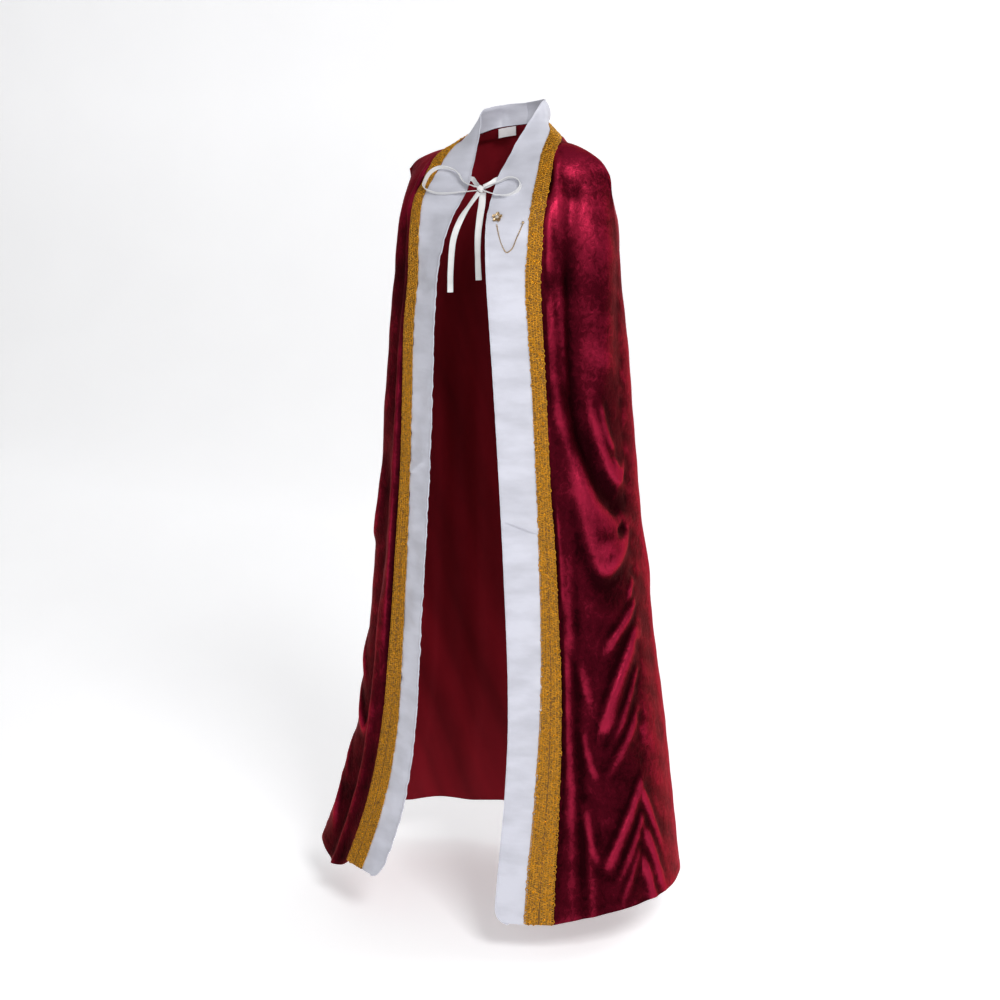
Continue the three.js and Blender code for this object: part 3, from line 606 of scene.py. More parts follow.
def shell(name, side, outer, wall, uv, materials, keep=None, lift=0, values=None):
    """Closed wall of cloth with its outer face on a grid of points. The first material covers
    the outer face and the edges, and the last one the inner face."""
    rows, columns = outer.shape[:2]
    normals = grid_normals(outer, side)
    top = (outer + normals * lift).reshape(-1, 3)
    bottom = (outer + normals * (lift - wall)).reshape(-1, 3)
    count = rows * columns
    outside = face_list(rows, columns, side, keep)
    inside = [[number + count for number in face[::-1]] for face in outside]
    rim = [[b, a, a + count, b + count] for a, b in sorted(rim_edges(outside))]
    faces = outside + inside + rim
    used = np.zeros(2 * count, bool)
    used[np.unique(np.array(faces))] = True
    number = np.cumsum(used) - 1
    vertices = np.concatenate([top, bottom])[used]
    faces = number[np.array(faces)].tolist()
    piece = new_piece(name, vertices, faces, materials)
    mesh = piece.data
    inner = np.zeros(len(faces), np.int32)
    inner[len(outside): 2 * len(outside)] = len(materials) - 1
    mesh.polygons.foreach_set("material_index", inner)
    flat_uv = np.tile(uv.reshape(-1, 2), (2, 1))[used] * MM
    loops = np.array(faces).ravel()
    mesh.uv_layers.new(name="Cloth").uv.foreach_set("vector", flat_uv[loops].ravel().astype(np.float32))
    for attribute, value in (values or {}).items():
        both = np.tile(value.ravel(), 2)[used].astype(np.float32)
        mesh.attributes.new(attribute, "FLOAT", "POINT").data.foreach_set("value", both)
    return piece


def arc_lengths(points, axis):
    """Distance along one axis of a grid of points, from its first row or column."""
    steps = np.linalg.norm(np.diff(points, axis=axis), axis=-1)
    width = [(1, 0), (0, 0)] if axis == 0 else [(0, 0), (1, 0)]
    return np.pad(np.cumsum(steps, axis), width)


def cloth_uv(points, drop):
    """Places on the flat cloth in millimetres: along each row of the grid, and down."""
    return np.stack([arc_lengths(points, 1), -drop], -1)


def settle(piece, slot, *nodes):
    """Fastens a finished piece to the frame: its body and what it replaces. Its slot is not used."""
    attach(piece, BODY)
    if nodes:
        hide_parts(*nodes)


SPLINE_STEPS = 24


def spline(points, count):
    """Even steps along a centripetal curve through points: places, tangents and the length."""
    points = np.asarray(points, float)
    ends = (2 * points[0] - points[1], 2 * points[-1] - points[-2])
    padded = np.concatenate([[ends[0]], points, [ends[1]]])
    runs = np.maximum(np.linalg.norm(np.diff(padded, axis=0), axis=-1), 1e-3) ** 0.5
    fine = []
    for i in range(len(points) - 1):
        a, b, c, d = padded[i: i + 4]
        first, middle, last = runs[i: i + 3]
        leave = ((b - a) / first - (c - a) / (first + middle) + (c - b) / middle) * middle
        arrive = ((c - b) / middle - (d - b) / (middle + last) + (d - c) / last) * middle
        f = np.linspace(0, 1, SPLINE_STEPS + 1)[:-1, None]
        cubic = 2 * b - 2 * c + leave + arrive
        square = 3 * c - 3 * b - 2 * leave - arrive
        fine.append(cubic * f**3 + square * f**2 + leave * f + b)
    fine = np.concatenate(fine + [points[-1:]])
    length = run_lengths(fine)
    at = np.linspace(0, length[-1], count + 1)
    places = np.stack([np.interp(at, length, fine[:, axis]) for axis in range(fine.shape[1])], -1)
    return places, unit(np.gradient(places, axis=0)), length[-1]


# Shader arithmetic


class Value:
    """A shader socket that takes part in Python sums by adding Math nodes to its tree."""

    def __init__(self, paint, socket):
        self.paint = paint
        self.socket = socket

    def sum(self, operation, first, second=None):
        sockets = {0: first} if second is None else {0: first, 1: second}
        return self.paint.add("ShaderNodeMath", {"operation": operation}, sockets)

    def __add__(self, other):
        return self.sum("ADD", self, other)

    __radd__ = __add__

    def __sub__(self, other):
        return self.sum("SUBTRACT", self, other)

    def __rsub__(self, other):
        return self.sum("SUBTRACT", other, self)

    def __mul__(self, other):
        return self.sum("MULTIPLY", self, other)

    __rmul__ = __mul__

    def sine(self):
        return self.sum("SINE", self)


class Paint:
    """A material under construction. add() puts in a node and gives back one output."""

    def __init__(self, name, **constants):
        self.material = bpy.data.materials.new(name)
        self.material.use_nodes = True
        self.tree = self.material.node_tree
        self.tree.nodes.clear()
        output = self.tree.nodes.new("ShaderNodeOutputMaterial")
        self.shader = self.tree.nodes.new("ShaderNodeBsdfPrincipled")
        self.tree.links.new(self.shader.outputs["BSDF"], output.inputs["Surface"])
        for socket, value in constants.items():
            self.shader.inputs[socket.replace("_", " ")].default_value = value

    def add(self, kind, settings=None, sockets=None, output=0):
        node = self.tree.nodes.new(kind)
        for name, value in (settings or {}).items():
            if name == "stops":
                ramp = node.color_ramp.elements
                while len(ramp) < len(value):
                    ramp.new(0.5)
                for element, (position, colour) in zip(ramp, value):
                    element.position = position
                    element.color = (*colour, 1)
            else:
                setattr(node, name, value)
        for name, value in (sockets or {}).items():
            self.set(node.inputs[name], value)
        return Value(self, node.outputs[output])

    def set(self, socket, value):
        if isinstance(value, Value):
            self.tree.links.new(value.socket, socket)
        elif socket.type == "RGBA" and len(value) == 3:
            socket.default_value = (*value, 1)
        else:
            socket.default_value = value

    def feed(self, **sockets):
        for name, value in sockets.items():
            self.set(self.shader.inputs[name.replace("_", " ")], value)
        return self.material

    def place(self):
        return self.add("ShaderNodeTexCoord", output="Object")

    def cloth(self):
        return self.add("ShaderNodeUVMap", {"uv_map": "Cloth"})

    def attribute(self, name):
        return self.add("ShaderNodeAttribute", {"attribute_name": name}, output="Fac")

    def scaled(self, vector, factors):
        return self.add("ShaderNodeMapping", {}, {"Vector": vector, "Scale": factors})

    def noise(self, vector, scale, detail=2.0, roughness=0.5, distortion=0.0):
        sockets = {"Vector": vector, "Scale": scale, "Detail": detail, "Roughness": roughness}
        sockets["Distortion"] = distortion
        return self.add("ShaderNodeTexNoise", {}, sockets)

    def ramp(self, value, *stops):
        return self.add("ShaderNodeValToRGB", {"stops": stops}, {"Fac": value})

    def bump(self, height, strength, distance, under=None):
        sockets = {"Height": height, "Strength": strength, "Distance": distance}
        if under is not None:
            sockets["Normal"] = under
        return self.add("ShaderNodeBump", {}, sockets)

    def split(self, vector, axis):
        return self.add("ShaderNodeSeparateXYZ", {}, {"Vector": vector}, output=axis)


def shade(colour, factor):
    return tuple(channel * factor for channel in colour)


def finish(name, make, *values):
    """The material of that name, made when it is first asked for."""
    return bpy.data.materials.get(name) or make(name, *values)


def velvet_material(name, look):
    """Crushed pile with random mottling, painted shade in the troughs and painted highlight on the ridges."""
    paint = Paint(
        name,
        Metallic=0.8,
        Specular_IOR_Level=0.15,
        Specular_Tint=(0.8, 0.09, 0.16, 1),
        Sheen_Weight=look.sheen,
        Sheen_Roughness=0.35,
        Sheen_Tint=(0.9, 0.04, 0.14, 1),
    )
    place = paint.place()
    # The ridge attribute drives painted shade and painted highlight in the base colour
    ridge = paint.attribute("ridge")
    crush = paint.noise(paint.scaled(place, (1.0, 1.0, 0.8)), 95, 4, 0.68, 0.9)
    patch = paint.noise(place, 9, 3, 0.5, 0.4)
    pile = paint.noise(place, 900, 2, 0.6)
    crease = paint.noise(paint.scaled(place, (1.0, 1.0, 0.35)), 26, 3, 0.55, 0.6)
    # Painted shade and highlight: troughs darker, ridges lighter; crush, patch and pile are random mottling
    tone = 0.43 + ridge * 0.78 + (crush - 0.5) * 0.78 + (patch - 0.5) * 0.4 + (pile - 0.5) * 0.2
    deep, middle, bright = tuple(look.deep), tuple(look.middle), tuple(look.bright)
    colour = paint.ramp(tone, (0.1, deep), (0.5, middle), (0.95, bright))
    rough = 0.41 - (patch - 0.5) * 0.25 - (crush - 0.5) * 0.2
    soft = paint.bump(crease, 0.35, 0.006)
    coarse = paint.bump(crush, 0.5, 0.003, soft)
    normal = paint.bump(pile, 0.3, 0.0006, coarse)
    return paint.feed(Base_Color=colour, Roughness=rough, Normal=normal)


def velvet_inside_material(name, look):
    """The flat knitted back of the velvet, dull and dark."""
    paint = Paint(name, Specular_IOR_Level=0.1)
    cloth = paint.cloth()
    along = paint.split(cloth, "X")
    # Painted shade: long vertical bands of darker and lighter tone stand in for the shading of the hanging
    # folds
    bands = paint.noise(paint.scaled(cloth, (1.0, 0.06, 1.0)), 14, 2, 0.5)
    knit = (along * 5200).sine() * (paint.split(cloth, "Y") * 3900).sine()
    tone = bands + knit * 0.05
    colour = paint.ramp(tone, (0.3, shade(look.inside, 0.72)), (0.7, shade(look.inside, 1.3)))
    return paint.feed(Base_Color=colour, Roughness=0.82, Normal=paint.bump(knit, 0.15, 0.0003))


def satin_material(name, colour, rough):
    """Smooth white weave with a fine twill, and faint sideways bands of painted shade, like the shade of soft
    puckers.
    """
    paint = Paint(name, Sheen_Weight=0.25, Sheen_Roughness=0.4, Sheen_Tint=(0.9, 0.92, 1, 1))
    cloth = paint.cloth()
    along, across = paint.split(cloth, "Y"), paint.split(cloth, "X")
    twill = ((along + across * 0.6) * 6000).sine() * 0.5 + 0.5
    threads = paint.noise(paint.scaled(cloth, (1.0, 0.08, 1.0)), 1800, 2, 0.6)
    level = paint.scaled(paint.place(), (0.35, 0.35, 1.0))
    # Painted shade: soft sideways bands of darker tone stand in for the shading of slack and puckers
    cloudy_shade = paint.noise(level, 30, 3, 0.55)
    tone = cloudy_shade * 0.8 + threads * 0.12 + twill * 0.08
    tint = paint.ramp(tone, (0.35, shade(colour, 0.8)), (0.62, tuple(colour)))
    weave = threads * 0.6 + twill * 0.4
    wrinkle = paint.bump(paint.noise(level, 42, 3, 0.5, 0.4), 0.3, 0.005)
    normal = paint.bump(weave, 0.12, 0.0002, wrinkle)
    return paint.feed(Base_Color=tint, Roughness=rough + (threads - 0.5) * 0.1, Normal=normal)


def braid_material(name, light, dark, metal, rough=0.55):
    """Lurex cord: gold film wound on a brown core that shows in specks."""
    paint = Paint(name, Specular_IOR_Level=0.5)
    place = paint.place()
    fleck = paint.noise(place, 200, 3, 0.75)
    wind = paint.noise(place, 1700, 2, 0.7)
    tone = fleck * 0.75 + wind * 0.25
    colour = paint.ramp(tone, (0.38, tuple(dark)), (0.47, shade(light, 0.8)), (0.64, shade(light, 1.3)))
    film = paint.ramp(fleck, (0.35, (0.2,) * 3), (0.55, (metal,) * 3))
    normal = paint.bump(wind, 0.5, 0.0008)
    return paint.feed(Base_Color=colour, Roughness=rough - wind * 0.3, Metallic=film, Normal=normal)


def brass_material(name, look):
    paint = Paint(name, Specular_IOR_Level=0.5)
    smear = paint.noise(paint.place(), 260, 3, 0.6)
    colour = paint.ramp(smear, (0.3, shade(look.metal, 0.7)), (0.7, tuple(look.metal)))
    normal = paint.bump(smear, 0.1, 0.0004)
    return paint.feed(Base_Color=colour, Metallic=0.9, Roughness=0.24 + smear * 0.22, Normal=normal)


def stone_material(name):
    paint = Paint(name, Specular_IOR_Level=0.8, Coat_Roughness=0.05)
    cloud = paint.noise(paint.place(), 500, 2, 0.5)
    colour = paint.ramp(cloud, (0.3, (0.34, 0.3, 0.27)), (0.7, (0.62, 0.58, 0.54)))
    return paint.feed(Base_Color=colour, Roughness=0.12 + cloud * 0.1, Coat_Weight=0.6)


def label_material(name, look):
    paint = Paint(name, Sheen_Weight=0.1)
    cloth = paint.cloth()
    weft = (paint.split(cloth, "Y") * 9000).sine() * 0.5 + 0.5
    warp = (paint.split(cloth, "X") * 9000).sine() * 0.5 + 0.5
    weave = weft * warp
    colour = paint.ramp(weave, (0.0, shade(look.label, 0.82)), (0.6, tuple(look.label)))
    return paint.feed(Base_Color=colour, Roughness=0.62, Normal=paint.bump(weave, 0.3, 0.0003))


def floor_material(name, look):
    paint = Paint(name, Emission_Strength=0.42)
    grain = paint.noise(paint.place(), 3, 3, 0.5)
    colour = paint.ramp(grain, (0.3, shade(look.floor, 0.985)), (0.7, tuple(look.floor)))
    return paint.feed(Base_Color=colour, Roughness=0.7 + grain * 0.1, Emission_Color=colour)


# Geometry Nodes: units strewn on points that carry the way out and the way along


STREWN_INPUTS = {
    "Points": "Geometry",
    "Unit": "Object",
    "Smallest": "Float",
    "Largest": "Float",
    "Spin": "Float",
    "Seed": "Int",
    "Finish": "Material",
}
WAYS = ("way_out", "way_along")


def node_adder(tree):
    """A function that puts a node in the tree and sets or links its sockets."""

    def add(kind, settings=None, **sockets):
        node = tree.nodes.new(kind)
        for name, value in (settings or {}).items():
            setattr(node, name, value)
        for name, value in sockets.items():
            socket = node.inputs[name.replace("_", " ")]
            if isinstance(value, bpy.types.NodeSocket):
                tree.links.new(value, socket)
            else:
                socket.default_value = value
        return node

    return add


def strewn_tree():
    """Node tree that puts a unit on every point, turned to the point's way out and way along,
    of an uneven size and spin, and paints the result."""
    tree = bpy.data.node_groups.new("strewn units", "GeometryNodeTree")
    for name, kind in STREWN_INPUTS.items():
        tree.interface.new_socket(name, in_out="INPUT", socket_type=f"NodeSocket{kind}")
    tree.interface.new_socket("Mesh", in_out="OUTPUT", socket_type="NodeSocketGeometry")
    add = node_adder(tree)
    given = add("NodeGroupInput").outputs
    unit_node = add("GeometryNodeObjectInfo", {"transform_space": "ORIGINAL"}, Object=given["Unit"])
    ways = {}
    for name in WAYS:
        node = add("GeometryNodeInputNamedAttribute", {"data_type": "FLOAT_VECTOR"}, Name=name)
        ways[name] = node.outputs["Attribute"]
    facing = add("FunctionNodeAlignRotationToVector", {"axis": "Z"}, Vector=ways["way_out"])
    turned = add(
        "FunctionNodeAlignRotationToVector",
        {"axis": "X", "pivot_axis": "Z"},
        Rotation=facing.outputs["Rotation"],
        Vector=ways["way_along"],
    )
    opposite = add("ShaderNodeMath", {"operation": "MULTIPLY"})
    tree.links.new(given["Spin"], opposite.inputs[0])
    opposite.inputs[1].default_value = -1

    def uneven(low, high):
        """A random number for each point, between the numbers of two sockets."""
        node = add("FunctionNodeRandomValue", {"data_type": "FLOAT"}, Seed=given["Seed"])
        ends = [socket for socket in node.inputs if socket.type == "VALUE"]
        tree.links.new(low, ends[0])
        tree.links.new(high, ends[1])
        return next(socket for socket in node.outputs if socket.enabled)

    angle = uneven(opposite.outputs[0], given["Spin"])
    spin = add("FunctionNodeAxisAngleToRotation", None, Axis=(0, 0, 1), Angle=angle)
    rotation = add(
        "FunctionNodeRotateRotation",
        {"rotation_space": "LOCAL"},
        Rotation=turned.outputs["Rotation"],
        Rotate_By=spin.outputs["Rotation"],
    )
    put = add(
        "GeometryNodeInstanceOnPoints",
        None,
        Points=given["Points"],
        Instance=unit_node.outputs["Geometry"],
        Rotation=rotation.outputs["Rotation"],
        Scale=uneven(given["Smallest"], given["Largest"]),
    )
    real = add("GeometryNodeRealizeInstances", None, Geometry=put.outputs["Instances"])
    paint = add("GeometryNodeSetMaterial", None, Geometry=real.outputs["Geometry"], Material=given["Finish"])
    add("NodeGroupOutput", None, Mesh=paint.outputs["Geometry"])
    return tree


def carrier_of(name, points, *ways):
    """Loose points in millimetres that carry their way out and way along. One way serves all."""
    points, *ways = np.broadcast_arrays(points, *ways)
    mesh = bpy.data.meshes.new(name)
    mesh.from_pydata((points * MM).tolist(), [], [])
    for attribute, vectors in zip(WAYS, ways):
        data = mesh.attributes.new(attribute, "FLOAT_VECTOR", "POINT").data
        data.foreach_set("vector", np.asarray(vectors, np.float32).ravel())
    carrier = bpy.data.objects.new(name, mesh)
    bpy.context.collection.objects.link(carrier)
    return carrier


def strew(name, unit_piece, points, ways_out, ways_along, material, spread=(1, 1), spin=0.0, seed=1):
    """One plain mesh of a unit put on many points. The unit is used up."""
    tree = bpy.data.node_groups.get("strewn units") or strewn_tree()
    carrier = carrier_of(name, points, ways_out, ways_along)
    modifier = carrier.modifiers.new("strewn", "NODES")
    modifier.node_group = tree
    inputs = {
        "Unit": unit_piece,
        "Smallest": float(spread[0]),
        "Largest": float(spread[1]),
        "Spin": float(spin),
        "Seed": seed,
        "Finish": material,
    }
    sockets = {item.name: item.identifier for item in tree.interface.items_tree if item.in_out == "INPUT"}
    for socket, value in inputs.items():
        modifier[sockets[socket]] = value
    shown = carrier.evaluated_get(bpy.context.evaluated_depsgraph_get())
    result = bpy.data.meshes.new_from_object(shown)
    used_up = (carrier.data, unit_piece.data)
    carrier.modifiers.clear()
    carrier.data = result
    result.name = name
    for attribute in WAYS:
        if attribute in result.attributes:
            result.attributes.remove(result.attributes[attribute])
    result.shade_smooth()
    bpy.data.objects.remove(unit_piece)
    for mesh in used_up:
        bpy.data.meshes.remove(mesh)
    return carrier


def join(name, pieces):
    """Joins pieces into the first one and names it."""
    with bpy.context.temp_override(
        active_object=pieces[0], selected_editable_objects=pieces, selected_objects=pieces
    ):
        bpy.ops.object.join()
    pieces[0].name = pieces[0].data.name = name
    return pieces[0]


def ring_unit(name, length, width, thick, around, section_sides, lift=0.0):
    """A flat oval loop of cord, in millimetres."""
    turn = np.linspace(0, 2 * np.pi, around, endpoint=False)
    centre = np.stack([np.cos(turn) * length / 2, np.sin(turn) * width / 2, lift * np.cos(turn)], -1)
    out = unit(np.stack([np.cos(turn) / length, np.sin(turn) / width, 0 * turn], -1))
    angle = np.linspace(0, 2 * np.pi, section_sides, endpoint=False)
    wide = out[:, None] * np.cos(angle)[None, :, None]
    high = np.array([0, 0, 1.0]) * np.sin(angle)[None, :, None]
    vertices = (centre[:, None] + (wide + high) * thick / 2).reshape(-1, 3)
    faces = []
    for i in range(around):
        for k in range(section_sides):
            a, b = i * section_sides, ((i + 1) % around) * section_sides
            n = (k + 1) % section_sides
            faces.append([a + k, b + k, b + n, a + n])
    return new_piece(name, vertices, faces, smooth_angle=180)


def round_faces(around, rings):
    """Faces of a closed round form: its rings of vertices in order, then its two poles."""
    top, bottom = rings * around, rings * around + 1
    last = (rings - 1) * around
    faces = []
    for k in range(around):
        n = (k + 1) % around
        faces.append([top, k, n])
        for i in range(rings - 1):
            a, b = i * around, (i + 1) * around
            faces.append([a + k, b + k, b + n, a + n])
        faces.append([last + k, bottom, last + n])
    return faces


def bead_unit(name, radii, around=8, rings=5):
    """A small closed round bead, in millimetres."""
    rows = np.linspace(0, np.pi, rings + 2)[1:-1]
    turn = np.linspace(0, 2 * np.pi, around, endpoint=False)
    ring = np.stack(
        [
            np.sin(rows)[:, None] * np.cos(turn),
            np.sin(rows)[:, None] * np.sin(turn),
            np.cos(rows)[:, None] * np.ones(around),
        ],
        -1,
    ).reshape(-1, 3)
    vertices = np.concatenate([ring, [[0, 0, 1], [0, 0, -1]]]) * radii
    return new_piece(name, vertices, round_faces(around, rings), smooth_angle=180)


# Rows and columns of the fine meshes
BODY_DROPS = np.concatenate([np.linspace(0, YOKE_DROP, 46)[:-1], np.linspace(YOKE_DROP, HEM_DROP, 212)])
NECK_DROPS = np.linspace(BACK_NECK, 0, 34)[:-1]
MARGIN = np.linspace(-1, 0, 5)[:-1]
FRONT_COLUMNS = 120
RIDGE_COLUMNS = 34
NECK_COLUMNS = 54
BAND_COLUMNS = 19
BRAID_COLUMNS = 9
# How many grid steps away a point's neighbours are, and the height in millimetres that counts
RIDGE_REACHES = ((4, 2.0), (11, 7.0))
# The turned-up hem: how far it stands out, its width, and the width of its step
HEM_PROUD, HEM_WIDTH, HEM_STEP = 0.7, 15, 3
# Height of the margin at the back of the neck, for its weave
MARGIN_DROP = 20


def settings():
    return bpy.context.scene.cape


def velvet_finishes():
    look = settings().velvet
    outside = finish("crushed velvet", velvet_material, look)
    return [outside, finish("velvet inside", velvet_inside_material, look)]


def satin():
    return finish("white satin", satin_material, settings().trim.satin, 0.42)


def ribbon_satin():
    return finish("ribbon satin", satin_material, settings().trim.ribbon, 0.32)


def hem_roll(drop):
    """The turned-up hem stands a little prouder than the cloth."""
    return HEM_PROUD * ease((drop - HEM_DROP + HEM_WIDTH) / HEM_STEP)


def make_front(side):
    """One front, from its margin under the braid to the shoulder and side seam."""
    drop = BODY_DROPS[:, None]
    share = np.concatenate([MARGIN, np.linspace(0, 1, FRONT_COLUMNS)])[None, :]
    across = np.where(share > 0, share * seam_at(drop), share)
    drop = np.broadcast_to(drop, across.shape)
    points = velvet_point(side, drop, across, settings().velvet.fold_depth)
    points = points + grid_normals(points, side) * hem_roll(drop)[..., None]
    normals = grid_normals(points, side)
    uv = cloth_uv(points, drop)
    # The ridge attribute gives the velvet its painted shade in troughs and painted highlight on ridges
    values = {"ridge": bumpiness(points, normals)}
    name = f"front_{SIDE_NAMES[side]}_cloth"
    piece = shell(name, side, points, VELVET_WALL, uv, velvet_finishes(), values=values)
    settle(piece, "velvet", f"front_{SIDE_NAMES[side]}")


def make_back():
    """The back in one piece, with its margin under the braid at the neck."""
    ridge = np.linspace(0, RIDGE_SHARE, RIDGE_COLUMNS + 1)
    neck = np.linspace(RIDGE_SHARE, 1, NECK_COLUMNS + 1)[1:]
    half = np.concatenate([ridge, neck])
    share = np.concatenate([half, half[::-1][1:]])
    sides = np.concatenate([np.ones(len(half)), -np.ones(len(half) - 1)])
    depth = settings().velvet.fold_depth
    halves = {}
    for side in (LEFT, RIGHT):
        drop = np.broadcast_to(BODY_DROPS[:, None], (len(BODY_DROPS), len(share)))
        across = mix(seam_at(drop), 2, share[None, :])
        body = velvet_point(side, drop, across, depth)
        margin = strip_point(side, neck_drop_at(share)[None, :], 2 + MARGIN[:, None])
        halves[side] = np.concatenate([margin, body])
    points = np.where(sides[None, :, None] > 0, halves[LEFT], halves[RIGHT])
    drops = np.concatenate([MARGIN * MARGIN_DROP, BODY_DROPS])[:, None] * np.ones(len(share))
    points = points + grid_normals(points, LEFT) * hem_roll(drops)[..., None]
    normals = grid_normals(points, LEFT)
    keep = np.ones((len(points) - 1, len(share) - 1), bool)
    keep[: len(MARGIN), :RIDGE_COLUMNS] = False
    keep[: len(MARGIN), -RIDGE_COLUMNS:] = False
    uv = cloth_uv(points, drops)
    # The ridge attribute gives the velvet its painted shade in troughs and painted highlight on ridges
    values = {"ridge": bumpiness(points, normals)}
    piece = shell("back_cloth", LEFT, points, VELVET_WALL, uv, velvet_finishes(), keep, values=values)
    settle(piece, "velvet", "back")


# Creases of the bands, as height, near and far widths, and two places of drop and across
BAND_CREASES = {
    LEFT: [
        (5, 13, 2.2, (677, 0.05), (702, 0.97)),
        (-1.6, 8, 8, (300, 0.3), (318, 0.9)),
        (1.6, 7, 5, (840, 0.1), (870, 0.8)),
        (1.4, 10, 6, (1080, 0.2), (1060, 0.9)),
        (1.5, 9, 6, (108, 0.1), (128, 0.7)),
    ],
    RIGHT: [
        (4.4, 12, 2.2, (583, 0.2), (614, 0.95)),
        (-1.5, 8, 8, (250, 0.2), (262, 0.9)),
        (1.5, 7, 5, (700, 0.2), (722, 0.9)),
        (1.6, 9, 6, (905, 0.1), (888, 0.8)),
        (1.6, 10, 6, (118, 0.2), (140, 0.8)),
    ],
}
CREASE_ROWS = {LEFT: np.arange(668, 712, 1.5), RIGHT: np.arange(574, 624, 1.5)}
CORNER_ROWS = HEM_DROP - CORNER_RADIUS * (1 - np.sin(np.linspace(0, np.pi / 2, 14)))
CREASE_END = 0.05
COLLAR_SEAM, COLLAR_SEAM_DEPTH, COLLAR_SEAM_WIDTH = -107, 1.8, 3.5
# Slack in the middle and puckers at the edges: height, length, seed and stretch of the ripples
SLACK = (2.4, 70, 11, (1, 1, 0.55))
PUCKERS = (1.5, 19, 21, (0.3, 0.3, 1))
FREE_REACH, SEWN_REACH = 0.16, 0.2
# The turned edge stands out, and the stitches beside it pull in: height, place and width
TURNED_EDGE = (0.9, 0, 0.035)
STITCH_DENT = (-0.6, 0.08, 0.025)


def crease_height(crease, drop, across, width):
    """Height of one crease, from the nearest place on the line between its two ends."""
    rise, near, far, start, end = crease
    x, y = drop - start[0], (across - start[1]) * width
    run_x, run_y = end[0] - start[0], (end[1] - start[1]) * width
    f = clamp01((x * run_x + y * run_y) / (run_x * run_x + run_y * run_y))
    away_x, away_y = x - f * run_x, y - f * run_y
    reach = np.where(away_x > 0, far, near)
    return rise * np.exp(-((away_x**2 + away_y**2) / reach**2)) * np.sqrt(4 * f * (1 - f) + CREASE_END)


def band_height(side, drop, across, point):
    """Soft form of a satin band: slack between its edges, puckers where it is sewn, creases."""
    waves = []
    for rise, length, seed, stretch in (SLACK, PUCKERS):
        waves.append(ripple(point * stretch, seed + side, length) * rise)
    slack, pucker = waves
    edge = hill(across, FREE_REACH) + hill(1 - across, SEWN_REACH)
    height = slack * np.sin(np.pi * clamp01(across)) + pucker * edge
    width = np.linalg.norm(strip_line("join", drop) - strip_line("free", drop), axis=-1)
    for crease in BAND_CREASES[side]:
        height = height + crease_height(crease, drop, across, width)
    for rise, at, spread in (TURNED_EDGE, STITCH_DENT):
        height = height + rise * hill(across - at, spread)
    if side == RIGHT:
        height = height - COLLAR_SEAM_DEPTH * hill(drop - COLLAR_SEAM, COLLAR_SEAM_WIDTH)
    return height


def strip_grid(side, across, drops):
    drop = np.broadcast_to(drops[:, None], (len(drops), len(across)))
    across = np.broadcast_to(across[None, :], drop.shape)
    return drop, across, strip_point(side, drop, across)


def make_band(side):
    """A satin band that runs on into half of the stand collar."""
    drops = np.unique(np.concatenate([NECK_DROPS, BODY_DROPS, CREASE_ROWS[side]]))
    drops = np.concatenate([drops[drops < HEM_DROP - CORNER_RADIUS], CORNER_ROWS])
    drop, across, points = strip_grid(side, np.linspace(0, 1, BAND_COLUMNS), drops)
    points = points + grid_normals(points, side) * band_height(side, drop, across, points)[..., None]
    uv = cloth_uv(points, drop)
    piece = shell(f"band_{SIDE_NAMES[side]}_cloth", side, points, SATIN_WALL, uv, [satin()])
    settle(piece, "white_satin", f"band_{SIDE_NAMES[side]}")


# The braid's lines of loops lie so far apart. Under a level it is two rows with a groove between
BRAID_LINE = 5.1
TWO_ROWS = 640
BRAID_GROOVE, GROOVE_FADE = 0.05, 80
BRAID_RELIEF = 0.6
BRAID_MIDDLE = 1.5
# Loops, sequins and dashes: their sizes, and how uneven their sizes and turns are
LOOP_SIZE, LOOP_LIFT_AT_END = (8.2, 5.6, 1.8), 0.9
LOOP_SPREAD, LOOP_SPIN = (0.7, 1.15), 1.5
LOOP_MARGIN, LOOP_STEP = 3, 3
NECK_MARGIN = 5
LOOPS_PER_SEQUIN = 7
SEQUIN_RADII, SEQUIN_SPREAD = (1.8, 1.8, 0.4), (0.8, 1.1)
SEQUIN_LIFT = 1.3
SEQUIN_ROUGH = 0.4
# The dashes are dark beads of painted shade along the groove
DASH_RADII, DASH_SPREAD, DASH_SPIN = (3.6, 1.2, 0.6), (0.7, 1.1), 0.3
DASH_LIFT = 3.0
DASH_START = TWO_ROWS + 50


def row_drops(side, drops, pitch):
    """Drops of the braid's rows of loops, a pitch apart along its middle."""
    run = run_lengths(strip_point(side, drops, np.full_like(drops, BRAID_MIDDLE)))
    return np.interp(np.arange(pitch / 2, run[-1] - pitch / 2, pitch), run, drops)


def loop_places(rows, pitch):
    """Drop and measure across of every loop. A wider braid has more lines, and each second
    line lies half a pitch lower."""
    width = np.interp(rows, SECTIONS["drop"], SECTIONS["braid"])
    number = np.round(width / BRAID_LINE).astype(int)
    drops, spreads = [], []
    for line in range(number.max()):
        has = number > line
        share = (line + 0.5) / number[has]
        groove = BRAID_GROOVE * np.sign(share - 0.5) * ease((rows[has] - TWO_ROWS) / GROOVE_FADE)
        drops.append(rows[has] + (line % 2) * 0.5 * pitch)
        spreads.append(1 + share + groove)
    return np.clip(np.concatenate(drops), BACK_NECK, HEM_DROP - LOOP_MARGIN), np.concatenate(spreads)


def groove_shade_dashes(side, rows, seed):
    """Dark dashes of painted shade in the groove between the two rows of the braid."""
    look = settings().braid
    # Dark brown that paints the groove's shade
    core = finish("braid core", braid_material, shade(look.dark, 1.6), look.dark, 0.1)
    dash = bead_unit("core dash", DASH_RADII, 6, 3)
    low = rows[rows > DASH_START][::2]
    middle = np.full_like(low, BRAID_MIDDLE)
    spots = strip_point(side, low, middle)
    outs = outward(strip_point, side, low, middle)
    along = unit(np.gradient(spots, axis=0))
    return strew("groove", dash, spots + outs * DASH_LIFT, outs, along, core, DASH_SPREAD, DASH_SPIN, seed)


